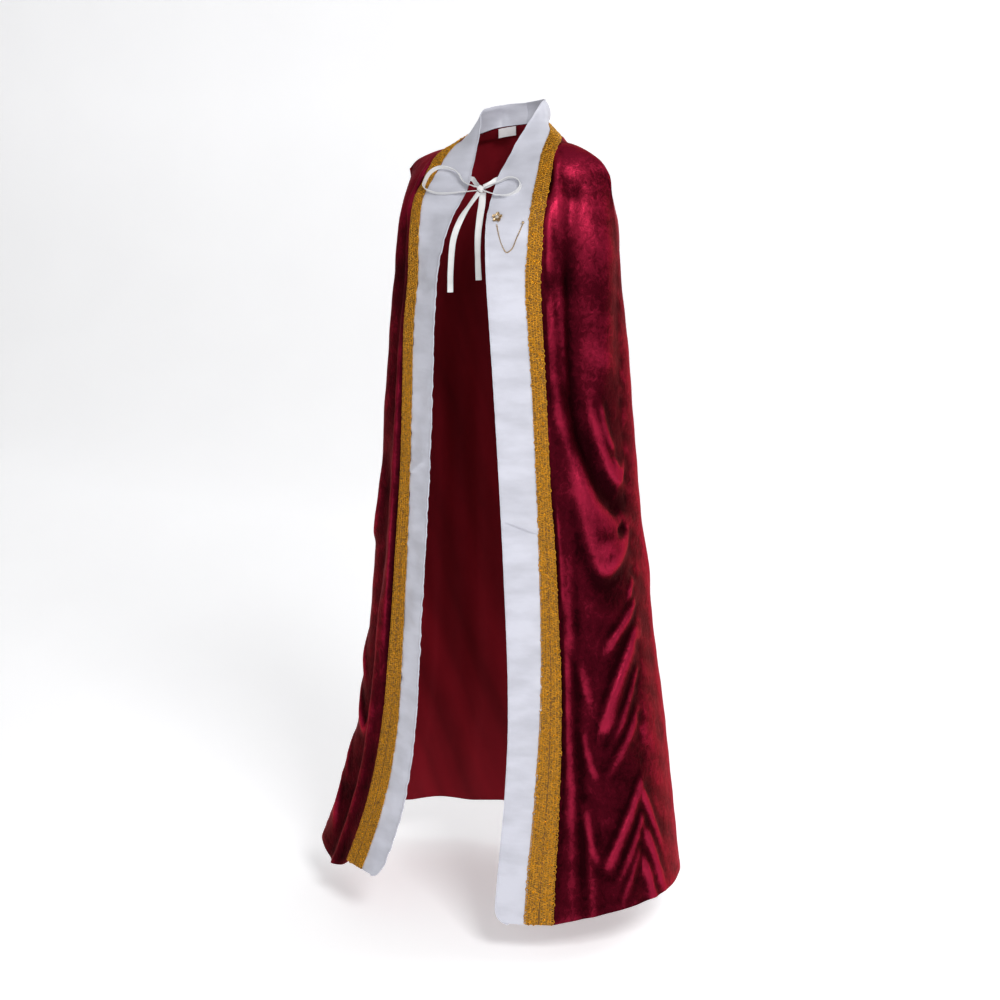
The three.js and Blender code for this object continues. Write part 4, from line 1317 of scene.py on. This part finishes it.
def braid_cover(side, drops):
    """The braid's looped cord with its groove and the groove's dashes of painted shade, and its sequins."""
    look = settings().braid
    pitch = look.pitch / MM
    rows = row_drops(side, drops, pitch)
    places, spread = loop_places(rows, pitch)
    spots = strip_point(side, places, spread)
    outs = outward(strip_point, side, np.clip(places, BACK_NECK + NECK_MARGIN, HEM_DROP), spread)
    above = strip_point(side, places - LOOP_STEP, spread)
    alongs = unit(strip_point(side, places + LOOP_STEP, spread) - above)
    spots = spots + outs * (SEAM_GAP + BRAID_WALL)
    gold = finish("gold cord", braid_material, look.light, look.dark, 0.6)
    loop = ring_unit("cord loop", *LOOP_SIZE, 10, 4, LOOP_LIFT_AT_END)
    cord = strew("cord", loop, spots, outs, alongs, gold, LOOP_SPREAD, LOOP_SPIN, look.seed)
    loops = join(f"loops_{SIDE_NAMES[side]}", [cord, groove_shade_dashes(side, rows, look.seed)])
    random = np.random.default_rng(look.seed)
    chosen = random.choice(len(spots), len(spots) // LOOPS_PER_SEQUIN, replace=False)
    film = finish("sequin film", braid_material, shade(look.light, 1.4), look.light, 0.95, SEQUIN_ROUGH)
    sequins = strew(
        f"sequins_{SIDE_NAMES[side]}",
        bead_unit("sequin", SEQUIN_RADII, 8, 1),
        (spots + outs * SEQUIN_LIFT)[chosen],
        outs[chosen],
        alongs[chosen],
        film,
        SEQUIN_SPREAD,
        LOOP_SPIN,
        look.seed,
    )
    return loops, sequins


def make_braid(side):
    """A flat ground with lines of looped cord and small sequins on it."""
    look = settings().braid
    drops = np.concatenate([NECK_DROPS, BODY_DROPS])
    drop, _, points = strip_grid(side, np.linspace(1, 2, BRAID_COLUMNS), drops)
    # The ground's dark gold is partly its own colour and partly painted shade in the gaps between loops
    ground = finish("braid ground", braid_material, shade(look.light, 0.38), look.dark, 0.2)
    uv = cloth_uv(points, drop)
    wall = BRAID_WALL - BRAID_RELIEF
    lift = SEAM_GAP + BRAID_WALL - BRAID_RELIEF
    base = shell(f"braid_{SIDE_NAMES[side]}_cloth", side, points, wall, uv, [ground], lift=lift)
    loops, sequins = braid_cover(side, drops)
    settle(base, "gold_braid", f"braid_{SIDE_NAMES[side]}")
    settle(loops, "gold_braid")
    settle(sequins, "gold_braid")


# Ribbon tie, as in the solids: knot, strands, loops and tails
KNOT = np.array([6, -106, -77.0])
KNOT_SIZE = np.array([7.1, 4.6, 6.4])
KNOT_DRAW = 0.98
KNOT_RINGS, KNOT_AROUND = 28, 48
STRAND_DROP, STRAND_ACROSS = 91, [0.12, 0.04, -0.04]
STRAND_REACH, STRAND_SAG = 6.4, 1
STRAND_WIDTH = 9
LOOP_WIDTH = 8
NARROW_CUT, NARROW_CUP = 11, 0.3
LOOP_LIFT = 1.4
# Where a loop starts to climb onto the braid, as a measure across
LOOP_CLIMB = 0.7
RIBBON_ROWS, STRAND_ROWS = 60, 24
RIBBON_COLUMNS = 9
LOOPS = {
    LEFT: {
        "out": (14.3, -108.5, -73.8),
        "home": (14.3, -108.5, -80.2),
        "route": [(97, 0.12), (92, 0.32), (95, 0.55), (105, 0.68), (115, 0.62), (121, 0.44), (120, 0.2)],
    },
    RIGHT: {
        "out": (-1.4, -108.5, -73.8),
        "home": (-1.4, -108.5, -80.2),
        "route": [
            (98, 0.12), (87, 0.32), (81, 0.6), (81, 0.92), (90, 1.3), (104, 1.35), (116, 1.02),
            (122, 0.7), (121, 0.4), (117, 0.15),
        ],
    },
}
TAILS = {
    LEFT: {
        "width": 13,
        "route": [
            (9.5, -104.5, -84.2), (11, -110, -103), (12, -119, -125), (12.5, -129, -163),
            (16, -136, -205), (19, -139, -240),
        ],
        "facing": [(1, 0.1, 0), (1, 0.25, 0), (1, 0.2, 0), (1, -0.1, 0), (1, -0.2, 0), (1, 0, 0)],
    },
    RIGHT: {
        "width": 11,
        "route": [
            (3.4, -107.6, -83.6), (-8, -116, -102), (-23, -129, -131), (-33, -140, -166),
            (-37, -146, -222), (-38, -147, -264),
        ],
        "facing": [(1, 0.1, 0.5), (1, 0.2, 0.8), (1, 0.8, 0.5), (1, 1.2, 0.1), (1, 1.2, 0), (1, 1, 0)],
    },
}


def spot(side, drop, across):
    """Points of the strip and their ways out."""
    drop, across = np.atleast_1d(np.asarray(drop, float)), np.atleast_1d(np.asarray(across, float))
    return strip_point(side, drop, across), outward(strip_point, side, drop, across)


def ribbon(name, route, facing, width, count, cup=0.8):
    """A narrow satin ribbon along a route, a little cupped, with its width along the facing
    directions."""
    places, tangents, length = spline(route, count)
    wide = spline(facing, count)[0]
    wide = unit(wide - tangents * (wide * tangents).sum(-1, keepdims=True))
    face = np.cross(tangents, wide)
    columns = np.linspace(-1, 1, RIBBON_COLUMNS)
    bend = (1 - columns**2) * cup
    points = places[:, None] + wide[:, None] * columns[None, :, None] * width / 2
    points = points + face[:, None] * (bend - RIBBON_WALL / 2)[None, :, None]
    points = points + face[:, None] * RIBBON_WALL
    along = np.linspace(0, length, count + 1)[:, None] * np.ones(len(columns))
    uv = np.stack([np.broadcast_to(columns * width / 2, along.shape), along], -1)
    normal = grid_normals(points, LEFT)[count // 2, RIBBON_COLUMNS // 2]
    side = LEFT if np.dot(normal, face[count // 2]) > 0 else RIGHT
    piece = shell(name, side, points, RIBBON_WALL, uv, [ribbon_satin()])
    return piece, length


def make_strand(side):
    """The short run of ribbon from inside a band's edge to the knot."""
    under, normal = spot(side, [STRAND_DROP] * 3, STRAND_ACROSS)
    under = under - normal * (SATIN_WALL + 2 * SEAM_GAP + RIBBON_WALL / 2)
    end = KNOT + unit(under[-1] - KNOT) * STRAND_REACH
    middle = mix(under[-1], end, 0.5) - (0, 0, STRAND_SAG)
    edge = spot(side, [STRAND_DROP, STRAND_DROP + 5], [0, 0])[0]
    facing = [edge[1] - edge[0]] * 4 + [(0, 0.3, -1)]
    name = f"strand_{SIDE_NAMES[side]}"
    piece, length = ribbon(name, [*under, middle, end], facing, STRAND_WIDTH, STRAND_ROWS, NARROW_CUP)
    settle(piece, "ribbon", f"tie_{name}")
    length * MM


def make_loop(side):
    """A loop of the bow that lies on the band, and on the braid where it reaches it."""
    loop = LOOPS[side]
    drops, spreads = np.array(loop["route"]).T
    seats, normals = spot(side, drops, spreads)
    over_braid = ease((spreads - LOOP_CLIMB) / (1 - LOOP_CLIMB))
    lift = LOOP_WIDTH / 2 + LOOP_LIFT + (SEAM_GAP + BRAID_WALL) * over_braid
    route = [loop["out"], *(seats + normals * lift[:, None]), loop["home"]]
    facing = [(0, -1, 0), *normals, (0, -1, 0)]
    name = f"loop_{SIDE_NAMES[side]}"
    piece, length = ribbon(name, route, facing, LOOP_WIDTH, RIBBON_ROWS, NARROW_CUP)
    settle(piece, "ribbon", f"tie_{name}")
    length * MM


def make_tail(side):
    """A free tail of the ribbon."""
    tail = TAILS[side]
    name = f"tail_{SIDE_NAMES[side]}"
    piece, length = ribbon(name, tail["route"], tail["facing"], tail["width"], RIBBON_ROWS)
    settle(piece, "ribbon", f"tie_{name}")
    length * MM


def make_knot():
    """The knot: a plump wrap of ribbon with creases that run round it."""
    rows = np.linspace(0.04, np.pi - 0.04, KNOT_RINGS)[:, None]
    turn = np.linspace(0, 2 * np.pi, KNOT_AROUND, endpoint=False)[None, :]
    crease = 1 + 0.07 * np.sin(3 * rows + 2.2 * np.sin(turn)) + 0.05 * np.cos(5 * turn + 2 * rows)
    ball = [np.cos(rows) + 0 * turn, np.sin(rows) * np.cos(turn), np.sin(rows) * np.sin(turn)]
    points = KNOT + np.stack(ball, -1) * KNOT_SIZE * crease[..., None] * KNOT_DRAW
    poles = points[[0, -1]].mean(1)
    vertices = np.concatenate([points.reshape(-1, 3), poles])
    faces = [[face[0], *face[:0:-1]] for face in round_faces(KNOT_AROUND, KNOT_RINGS)]
    piece = new_piece("knot_wrap", vertices, faces, [ribbon_satin()], 80)
    piece.data.uv_layers.new(name="Cloth")
    settle(piece, "ribbon", "tie_knot")


LABEL_WALL, LABEL_LENGTH, LABEL_GAP = 1, 17, 1.5
LABEL_ENDS, LABEL_ACROSS = (BACK_NECK * 6 / 7, BACK_NECK * 4 / 7), 1.1
LABEL_COLUMNS, LABEL_ROWS = 25, 12
LABEL_SAG, LABEL_RIPPLE = 0.5, 0.25


def make_label():
    """A bare woven label that hangs from the neck seam and sags a little."""
    drops = np.linspace(*LABEL_ENDS, LABEL_COLUMNS)
    point, _ = spot(RIGHT, drops, np.full_like(drops, LABEL_ACROSS))
    inward = unit(-point * (1, 1, 0))
    point = point + inward * (VELVET_WALL + LABEL_GAP + LABEL_WALL / 2)
    down = np.linspace(0, 1, LABEL_ROWS)
    grid = point[None] - np.array([0, 0, float(LABEL_LENGTH)]) * down[:, None, None]
    sag = np.sin(np.pi * down)[:, None] * LABEL_SAG + ripple(grid, 31, 14) * LABEL_RIPPLE
    grid = grid + inward[None] * sag[..., None]
    uv = np.stack([arc_lengths(grid, 1), arc_lengths(grid, 0)], -1)
    woven = label_material("woven label", settings().trim)
    piece = shell("label_cloth", LEFT, grid, LABEL_WALL, uv, [woven])
    settle(piece, "label", "label")


# Brooch, chain and stud on the wearer's left band
BROOCH_DROP, BROOCH_ACROSS = 155, 0.25
PETALS, PETAL_LIFT, PETAL_WALL = 5, 0.4, 0.7
PETAL_HALF, PETAL_ROOT, PETAL_LENGTH = 3.4, 2.2, 7.4
GRAINS, GRAIN_RING, GRAIN_RADIUS, GRAIN_LIFT = 14, 4.3, 0.75, 2.6
STONE_RADII, STONE_LIFT = (3.4, 3.4, 2.6), 2.7
STUD_DROP, STUD_ACROSS, STUD_RADIUS = 164, 0.86, 2.6
CHAIN_LIFT = 1.7
LINK_PITCH, LINK_SIZE = 1.9, (3.0, 2.1, 0.75)
CHAIN_ROUTE = [(166.6, 0.26), (181, 0.32), (194, 0.4), (202, 0.5), (198, 0.62), (184, 0.73), (167.5, 0.845)]


def petal_unit(name):
    """One cupped petal, in millimetres, with its root at the origin and its tip along +X."""
    long = np.linspace(0, 1, 9)[:, None]
    wide = np.linspace(-1, 1, 9)[None, :]
    half = PETAL_HALF * np.sin(np.pi * (0.08 + 0.86 * long)) ** 0.7
    x = PETAL_ROOT + PETAL_LENGTH * long + 0 * wide
    y = half * wide
    z = 0.7 + 1.5 * long**1.5 + 0.9 * wide**2 - 0.5 * np.cos(np.pi * wide / 2) * np.sin(np.pi * long)
    points = np.stack([x, y, z], -1)
    return shell(name, LEFT, points, PETAL_WALL, points[..., :2], [])


def round_ring(centre, over, up, radius, turn):
    """Points at the turns of a circle that lies along two directions."""
    return centre + radius * (np.cos(turn)[:, None] * over + np.sin(turn)[:, None] * up)


def make_brooch():
    """A five-petal flower with a ring of grains and a stone, a stud, and the chain between."""
    metal = finish("pale gold", brass_material, settings().trim)
    seat, out = (value[0] for value in spot(LEFT, BROOCH_DROP, BROOCH_ACROSS))
    up = unit(np.array([0, 0, 1.0]) - out * out[2])
    over = np.cross(up, out)
    base = seat + out * (SEAM_GAP + PETAL_LIFT)
    turn = np.linspace(0, 2 * np.pi, PETALS, endpoint=False) + np.pi / 2
    ways = round_ring(0, over, up, 1, turn)
    flower = strew("petals", petal_unit("petal"), base, out, ways, metal)
    turn = np.linspace(0, 2 * np.pi, GRAINS, endpoint=False)
    circle = round_ring(base + out * GRAIN_LIFT, over, up, GRAIN_RING, turn)
    grains = strew("grains", bead_unit("bead", (GRAIN_RADIUS,) * 3), circle, out, up, metal)
    piece = join("brooch_flower", [flower, grains])
    settle(piece, "brass", "brooch")
    stone_unit = bead_unit("stone", STONE_RADII, 12, 5)
    cut_stone = stone_material("cut stone")
    stone = strew("brooch_centre", stone_unit, [base + out * STONE_LIFT], out, up, cut_stone)
    stone.data.shade_flat()
    settle(stone, "brass", "brooch_stone")
    knob, way = (value[0] for value in spot(LEFT, STUD_DROP, STUD_ACROSS))
    ball = bead_unit("stud", (STUD_RADIUS,) * 3, 16, 9)
    stud = strew("stud_ball", ball, [knob + way * (STUD_RADIUS + SEAM_GAP)], way, up, metal)
    settle(stud, "brass", "chain_stud")
    make_chain(metal)


def make_chain(metal):
    """Oval links along the hanging chain, each turned a quarter from the last."""
    drops, spreads = np.array(CHAIN_ROUTE).T
    seats, normals = spot(LEFT, drops, spreads)
    route = seats + normals * CHAIN_LIFT
    length = spline(route, 200)[2]
    count = int(length / LINK_PITCH)
    places, tangents, _ = spline(route, count)
    outs = spline(normals, count)[0]
    outs = unit(outs - tangents * (outs * tangents).sum(-1, keepdims=True))
    sides = np.cross(outs, tangents)
    even = (np.arange(count + 1) % 2 == 0)[:, None]
    faces = unit(np.where(even, outs + sides, outs - sides))
    link = ring_unit("link", *LINK_SIZE, 10, 5)
    piece = strew("chain_links", link, places, faces, tangents, metal)
    settle(piece, "brass", "chain")


STITCH_RADII = (1.3, 0.32, 0.28)
STITCH_PITCH = 4.2
# Where stitches run: across the bands, down them, and round the hem
BAND_STITCHES = (0.035, 0.955)
STITCH_TOP, STITCH_END = BACK_NECK + 6.0, HEM_DROP - 28.0
HEM_STITCH_DROP, HEM_STITCH_ACROSS = HEM_DROP - 12.0, (0.03, 1.99)
STITCH_STEPS = 900
BAND_LIFT, HEM_LIFT = 0.1, 0.15


def stitch_run(side, surface, drops, spreads, lift):
    """Points, ways out and ways along of even stitches on a line of a surface."""
    length = run_lengths(surface(side, drops, spreads))
    at = np.arange(STITCH_PITCH, length[-1] - STITCH_PITCH, STITCH_PITCH)
    drop, across = np.interp(at, length, drops), np.interp(at, length, spreads)
    point = surface(side, drop, across)
    out = outward(surface, side, drop, across)
    along = unit(np.gradient(point, axis=0))
    return point + out * lift, out, along


def band_surface(side, drop, across):
    point = strip_point(side, drop, across)
    normal = outward(strip_point, side, drop, across)
    return point + normal * band_height(side, drop, across, point)[..., None]


def hem_surface(side, drop, across):
    return velvet_point(side, drop, across, settings().velvet.fold_depth)


def make_stitches():
    """Stitch lines on the bands' edges, beside the braid and round the hem."""
    look = settings()
    fine = np.linspace(0, 1, STITCH_STEPS)
    strip_drop = mix(STITCH_TOP, STITCH_END, fine)
    white, red = [], []
    for side in (LEFT, RIGHT):
        for across in BAND_STITCHES:
            white.append(stitch_run(side, band_surface, strip_drop, 0 * fine + across, BAND_LIFT))
        level = np.full_like(fine, HEM_STITCH_DROP)
        red.append(stitch_run(side, hem_surface, level, mix(*HEM_STITCH_ACROSS, fine), HEM_LIFT))
    threads = (
        ("band_stitches", "white_satin", white, "white thread", shade(look.trim.satin, 0.8), 0.5),
        ("hem_stitches", "velvet", red, "hem thread", shade(look.velvet.middle, 0.5), 0.6),
    )
    for name, slot, runs, thread, tint, rough in threads:
        stitch = bead_unit("stitch", STITCH_RADII, 6, 3)
        places = (np.concatenate(group) for group in zip(*runs))
        piece = strew(name, stitch, *places, satin_material(thread, tint, rough))
        settle(piece, slot)


# Camera and stage
CAMERA_TURN = 30
CAMERA_DISTANCE = 3.569
CAMERA_HEIGHT = 0.134
CAMERA_AIM = -0.682
CAMERA_SIDE = -0.02
CAMERA_ROLL = -0.7
FOCAL_PIXELS = 1881
IMAGE_PIXELS = 1000
SENSOR_WIDTH = 36
# Lights: where each one is, where it aims, and its size, in metres
LIGHTS = {
    "key": ((3.2, -2.4, 2.4), (0.1, 0, -0.6), 1.5),
    "fill": ((-2.2, -4.2, 0.6), (0, 0, -0.8), 3.0),
    "rim": ((2.6, 2.0, 1.6), (0, 0, -0.5), 1.2),
    "front": ((0.6, -4.2, 0.4), (0, 0, -0.8), 2.0),
}
# The floor, in metres: half its width, how far back its wall stands, and the bend between
FLOOR_HALF, FLOOR_BACK, WALL_HEIGHT = 6.0, 4.0, 5.0
FLOOR_BEND, FLOOR_STEPS = 1.5, 13


def turned_to(item, seat, aim):
    """Puts a lamp or camera at its seat, turned to an aim."""
    bpy.context.collection.objects.link(item)
    item.location = seat
    item.rotation_mode = "QUATERNION"
    item.rotation_quaternion = (Vector(aim) - Vector(seat)).to_track_quat("-Z", "Y")


def make_camera():
    turn = math.radians(CAMERA_TURN)
    over, back = math.cos(turn), math.sin(turn)
    data = bpy.data.cameras.new("camera")
    data.sensor_width = SENSOR_WIDTH
    data.lens = FOCAL_PIXELS * SENSOR_WIDTH / IMAGE_PIXELS
    camera = bpy.data.objects.new("camera", data)
    seat = (CAMERA_DISTANCE * back, -CAMERA_DISTANCE * over, CAMERA_HEIGHT)
    turned_to(camera, seat, (CAMERA_SIDE * over, CAMERA_SIDE * back, CAMERA_AIM))
    roll = Quaternion((0, 0, 1), math.radians(CAMERA_ROLL))
    camera.rotation_quaternion = camera.rotation_quaternion @ roll
    bpy.context.scene.camera = camera


def make_light(name, power):
    """An area light, as the table of lights says."""
    seat, aim, size = LIGHTS[name]
    data = bpy.data.lights.new(name, "AREA")
    data.energy = power
    data.size = size
    turned_to(bpy.data.objects.new(name, data), seat, aim)


def make_floor(look):
    """A floor that curves up into the wall behind."""
    level = look.floor_height
    curve = [(-FLOOR_HALF, level)]
    for angle in np.linspace(0, np.pi / 2, FLOOR_STEPS):
        out, up = FLOOR_BEND * math.sin(angle), FLOOR_BEND * (1 - math.cos(angle))
        curve.append((FLOOR_BACK - FLOOR_BEND + out, level + up))
    curve.append((FLOOR_BACK, level + WALL_HEIGHT))
    vertices = [(x / MM, y / MM, z / MM) for x in (-FLOOR_HALF, FLOOR_HALF) for y, z in curve]
    count = len(curve)
    faces = [[i, i + count, i + count + 1, i + 1] for i in range(count - 1)]
    new_piece("floor", vertices, faces, [floor_material("floor", look)], 80)


def make_stage():
    look = settings().stage
    make_floor(look)
    for name in LIGHTS:
        make_light(name, getattr(look, name))
    world = bpy.data.worlds.new("studio")
    world.use_nodes = True
    room = world.node_tree.nodes["Background"].inputs
    room["Color"].default_value = (1, 1, 1, 1)
    room["Strength"].default_value = look.world
    bpy.context.scene.world = world
    bpy.context.scene.view_settings.view_transform = "Standard"


# Settings, operators and panel


def colour(name, description, default):
    return FloatVectorProperty(
        name=name, description=description, default=default, subtype="COLOR", size=3, min=0, max=1
    )


class VelvetLook(bpy.types.PropertyGroup):
    # Deep and bright are the pile's mottled tones and also painted shade in troughs and painted highlight on
    # ridges
    deep: colour("Deep", "Pile that lies away from the light", (0.015, 0.0007, 0.0022))
    middle: colour("Middle", "Pile seen straight on", (0.068, 0.0026, 0.0082))
    bright: colour("Bright", "Crushed pile that faces the light", (0.31, 0.0125, 0.04))
    inside: colour("Inside", "Flat back of the velvet", (0.2, 0.0055, 0.0125))
    sheen: FloatProperty(name="Sheen", description="Strength of the pile's sheen", default=0.04, min=0, max=1)
    fold_depth: FloatProperty(
        name="Fold depth", description="Depth of all folds against the pattern's", default=1, min=0, max=1.2
    )


class BraidLook(bpy.types.PropertyGroup):
    light: colour("Gold", "Gold film on the cord", (0.68, 0.32, 0.018))
    dark: colour("Core", "Brown core that shows in specks", (0.15, 0.055, 0.007))
    pitch: FloatProperty(
        name="Loop pitch", description="From one loop to the next", default=0.0046, min=0.003, unit="LENGTH"
    )
    seed: IntProperty(name="Seed", description="Seed of the loops' unevenness", default=7)


class TrimLook(bpy.types.PropertyGroup):
    satin: colour("Satin", "White satin of the bands and collar", (0.6, 0.605, 0.68))
    ribbon: colour("Ribbon", "Satin of the ribbon tie", (0.8, 0.8, 0.8))
    label: colour("Label", "Bare woven label", (0.72, 0.69, 0.7))
    metal: colour("Metal", "Pale gold of the brooch and chain", (0.62, 0.45, 0.26))


class StageLook(bpy.types.PropertyGroup):
    floor: colour("Floor", "Pale studio floor", (0.93, 0.93, 0.94))
    floor_height: FloatProperty(
        name="Floor height", description="Floor under the held cape", default=-1.5, unit="LENGTH"
    )
    key: FloatProperty(name="Key", description="Power of the key light in watts", default=148)
    fill: FloatProperty(name="Fill", description="Power of the fill light in watts", default=18)
    rim: FloatProperty(name="Rim", description="Power of the rim light in watts", default=26)
    front: FloatProperty(name="Front", description="Power of the front light in watts", default=28)
    world: FloatProperty(name="Room", description="Strength of the room's light", default=0.25)


class CapeSettings(bpy.types.PropertyGroup):
    velvet: PointerProperty(type=VelvetLook)
    braid: PointerProperty(type=BraidLook)
    trim: PointerProperty(type=TrimLook)
    stage: PointerProperty(type=StageLook)


class CAPE_OT_stage(bpy.types.Operator):
    """Make the floor, the lights and the camera"""

    bl_idname = "cape.stage"
    bl_label = "Stage and camera"

    def execute(self, context):
        make_camera()
        make_stage()
        return {"FINISHED"}


class CAPE_OT_fronts(bpy.types.Operator):
    """Make both velvet fronts with their folds"""

    bl_idname = "cape.fronts"
    bl_label = "Velvet fronts"

    def execute(self, context):
        for side in (LEFT, RIGHT):
            make_front(side)
        return {"FINISHED"}


class CAPE_OT_back(bpy.types.Operator):
    """Make the velvet back"""

    bl_idname = "cape.back"
    bl_label = "Velvet back"

    def execute(self, context):
        make_back()
        return {"FINISHED"}


class CAPE_OT_bands(bpy.types.Operator):
    """Make the white satin bands that run on into the collar"""

    bl_idname = "cape.bands"
    bl_label = "Satin bands and collar"

    def execute(self, context):
        for side in (LEFT, RIGHT):
            make_band(side)
        return {"FINISHED"}


class CAPE_OT_braids(bpy.types.Operator):
    """Make the gold braid"""

    bl_idname = "cape.braids"
    bl_label = "Gold braid"

    def execute(self, context):
        for side in (LEFT, RIGHT):
            make_braid(side)
        return {"FINISHED"}


class CAPE_OT_tie(bpy.types.Operator):
    """Make the ribbon tie"""

    bl_idname = "cape.tie"
    bl_label = "Ribbon tie"

    def execute(self, context):
        for side in (LEFT, RIGHT):
            make_strand(side)
            make_loop(side)
            make_tail(side)
        make_knot()
        return {"FINISHED"}


class CAPE_OT_label(bpy.types.Operator):
    """Make the bare label"""

    bl_idname = "cape.label"
    bl_label = "Label"

    def execute(self, context):
        make_label()
        return {"FINISHED"}


class CAPE_OT_brooch(bpy.types.Operator):
    """Make the brooch, its chain and the end stud"""

    bl_idname = "cape.brooch"
    bl_label = "Brooch and chain"

    def execute(self, context):
        make_brooch()
        return {"FINISHED"}


class CAPE_OT_stitches(bpy.types.Operator):
    """Make the stitch lines"""

    bl_idname = "cape.stitches"
    bl_label = "Stitches"

    def execute(self, context):
        make_stitches()
        return {"FINISHED"}


OPERATORS = (
    CAPE_OT_stage,
    CAPE_OT_fronts,
    CAPE_OT_back,
    CAPE_OT_bands,
    CAPE_OT_braids,
    CAPE_OT_tie,
    CAPE_OT_label,
    CAPE_OT_brooch,
    CAPE_OT_stitches,
)


class CAPE_PT_sidebar(bpy.types.Panel):
    """Lists the cape's settings and operators"""

    bl_idname = "CAPE_PT_sidebar"
    bl_label = "King cape"
    bl_space_type = "VIEW_3D"
    bl_region_type = "UI"
    bl_category = "Cape"

    def draw(self, context):
        cape = context.scene.cape
        for group in (cape.velvet, cape.braid, cape.trim, cape.stage):
            box = self.layout.box()
            for name in group.__annotations__:
                box.prop(group, name)
        for operator in OPERATORS:
            self.layout.operator(operator.bl_idname)


CLASSES = (VelvetLook, BraidLook, TrimLook, StageLook, CapeSettings, *OPERATORS, CAPE_PT_sidebar)


def register():
    for item in CLASSES:
        bpy.utils.register_class(item)
    bpy.types.Scene.cape = PointerProperty(type=CapeSettings)


def unregister():
    del bpy.types.Scene.cape
    for item in reversed(CLASSES):
        bpy.utils.unregister_class(item)


def main():
    register()
    for operator in OPERATORS:
        group, name = operator.bl_idname.split(".")
        getattr(getattr(bpy.ops, group), name)()


if __name__ == "__main__":
    main()
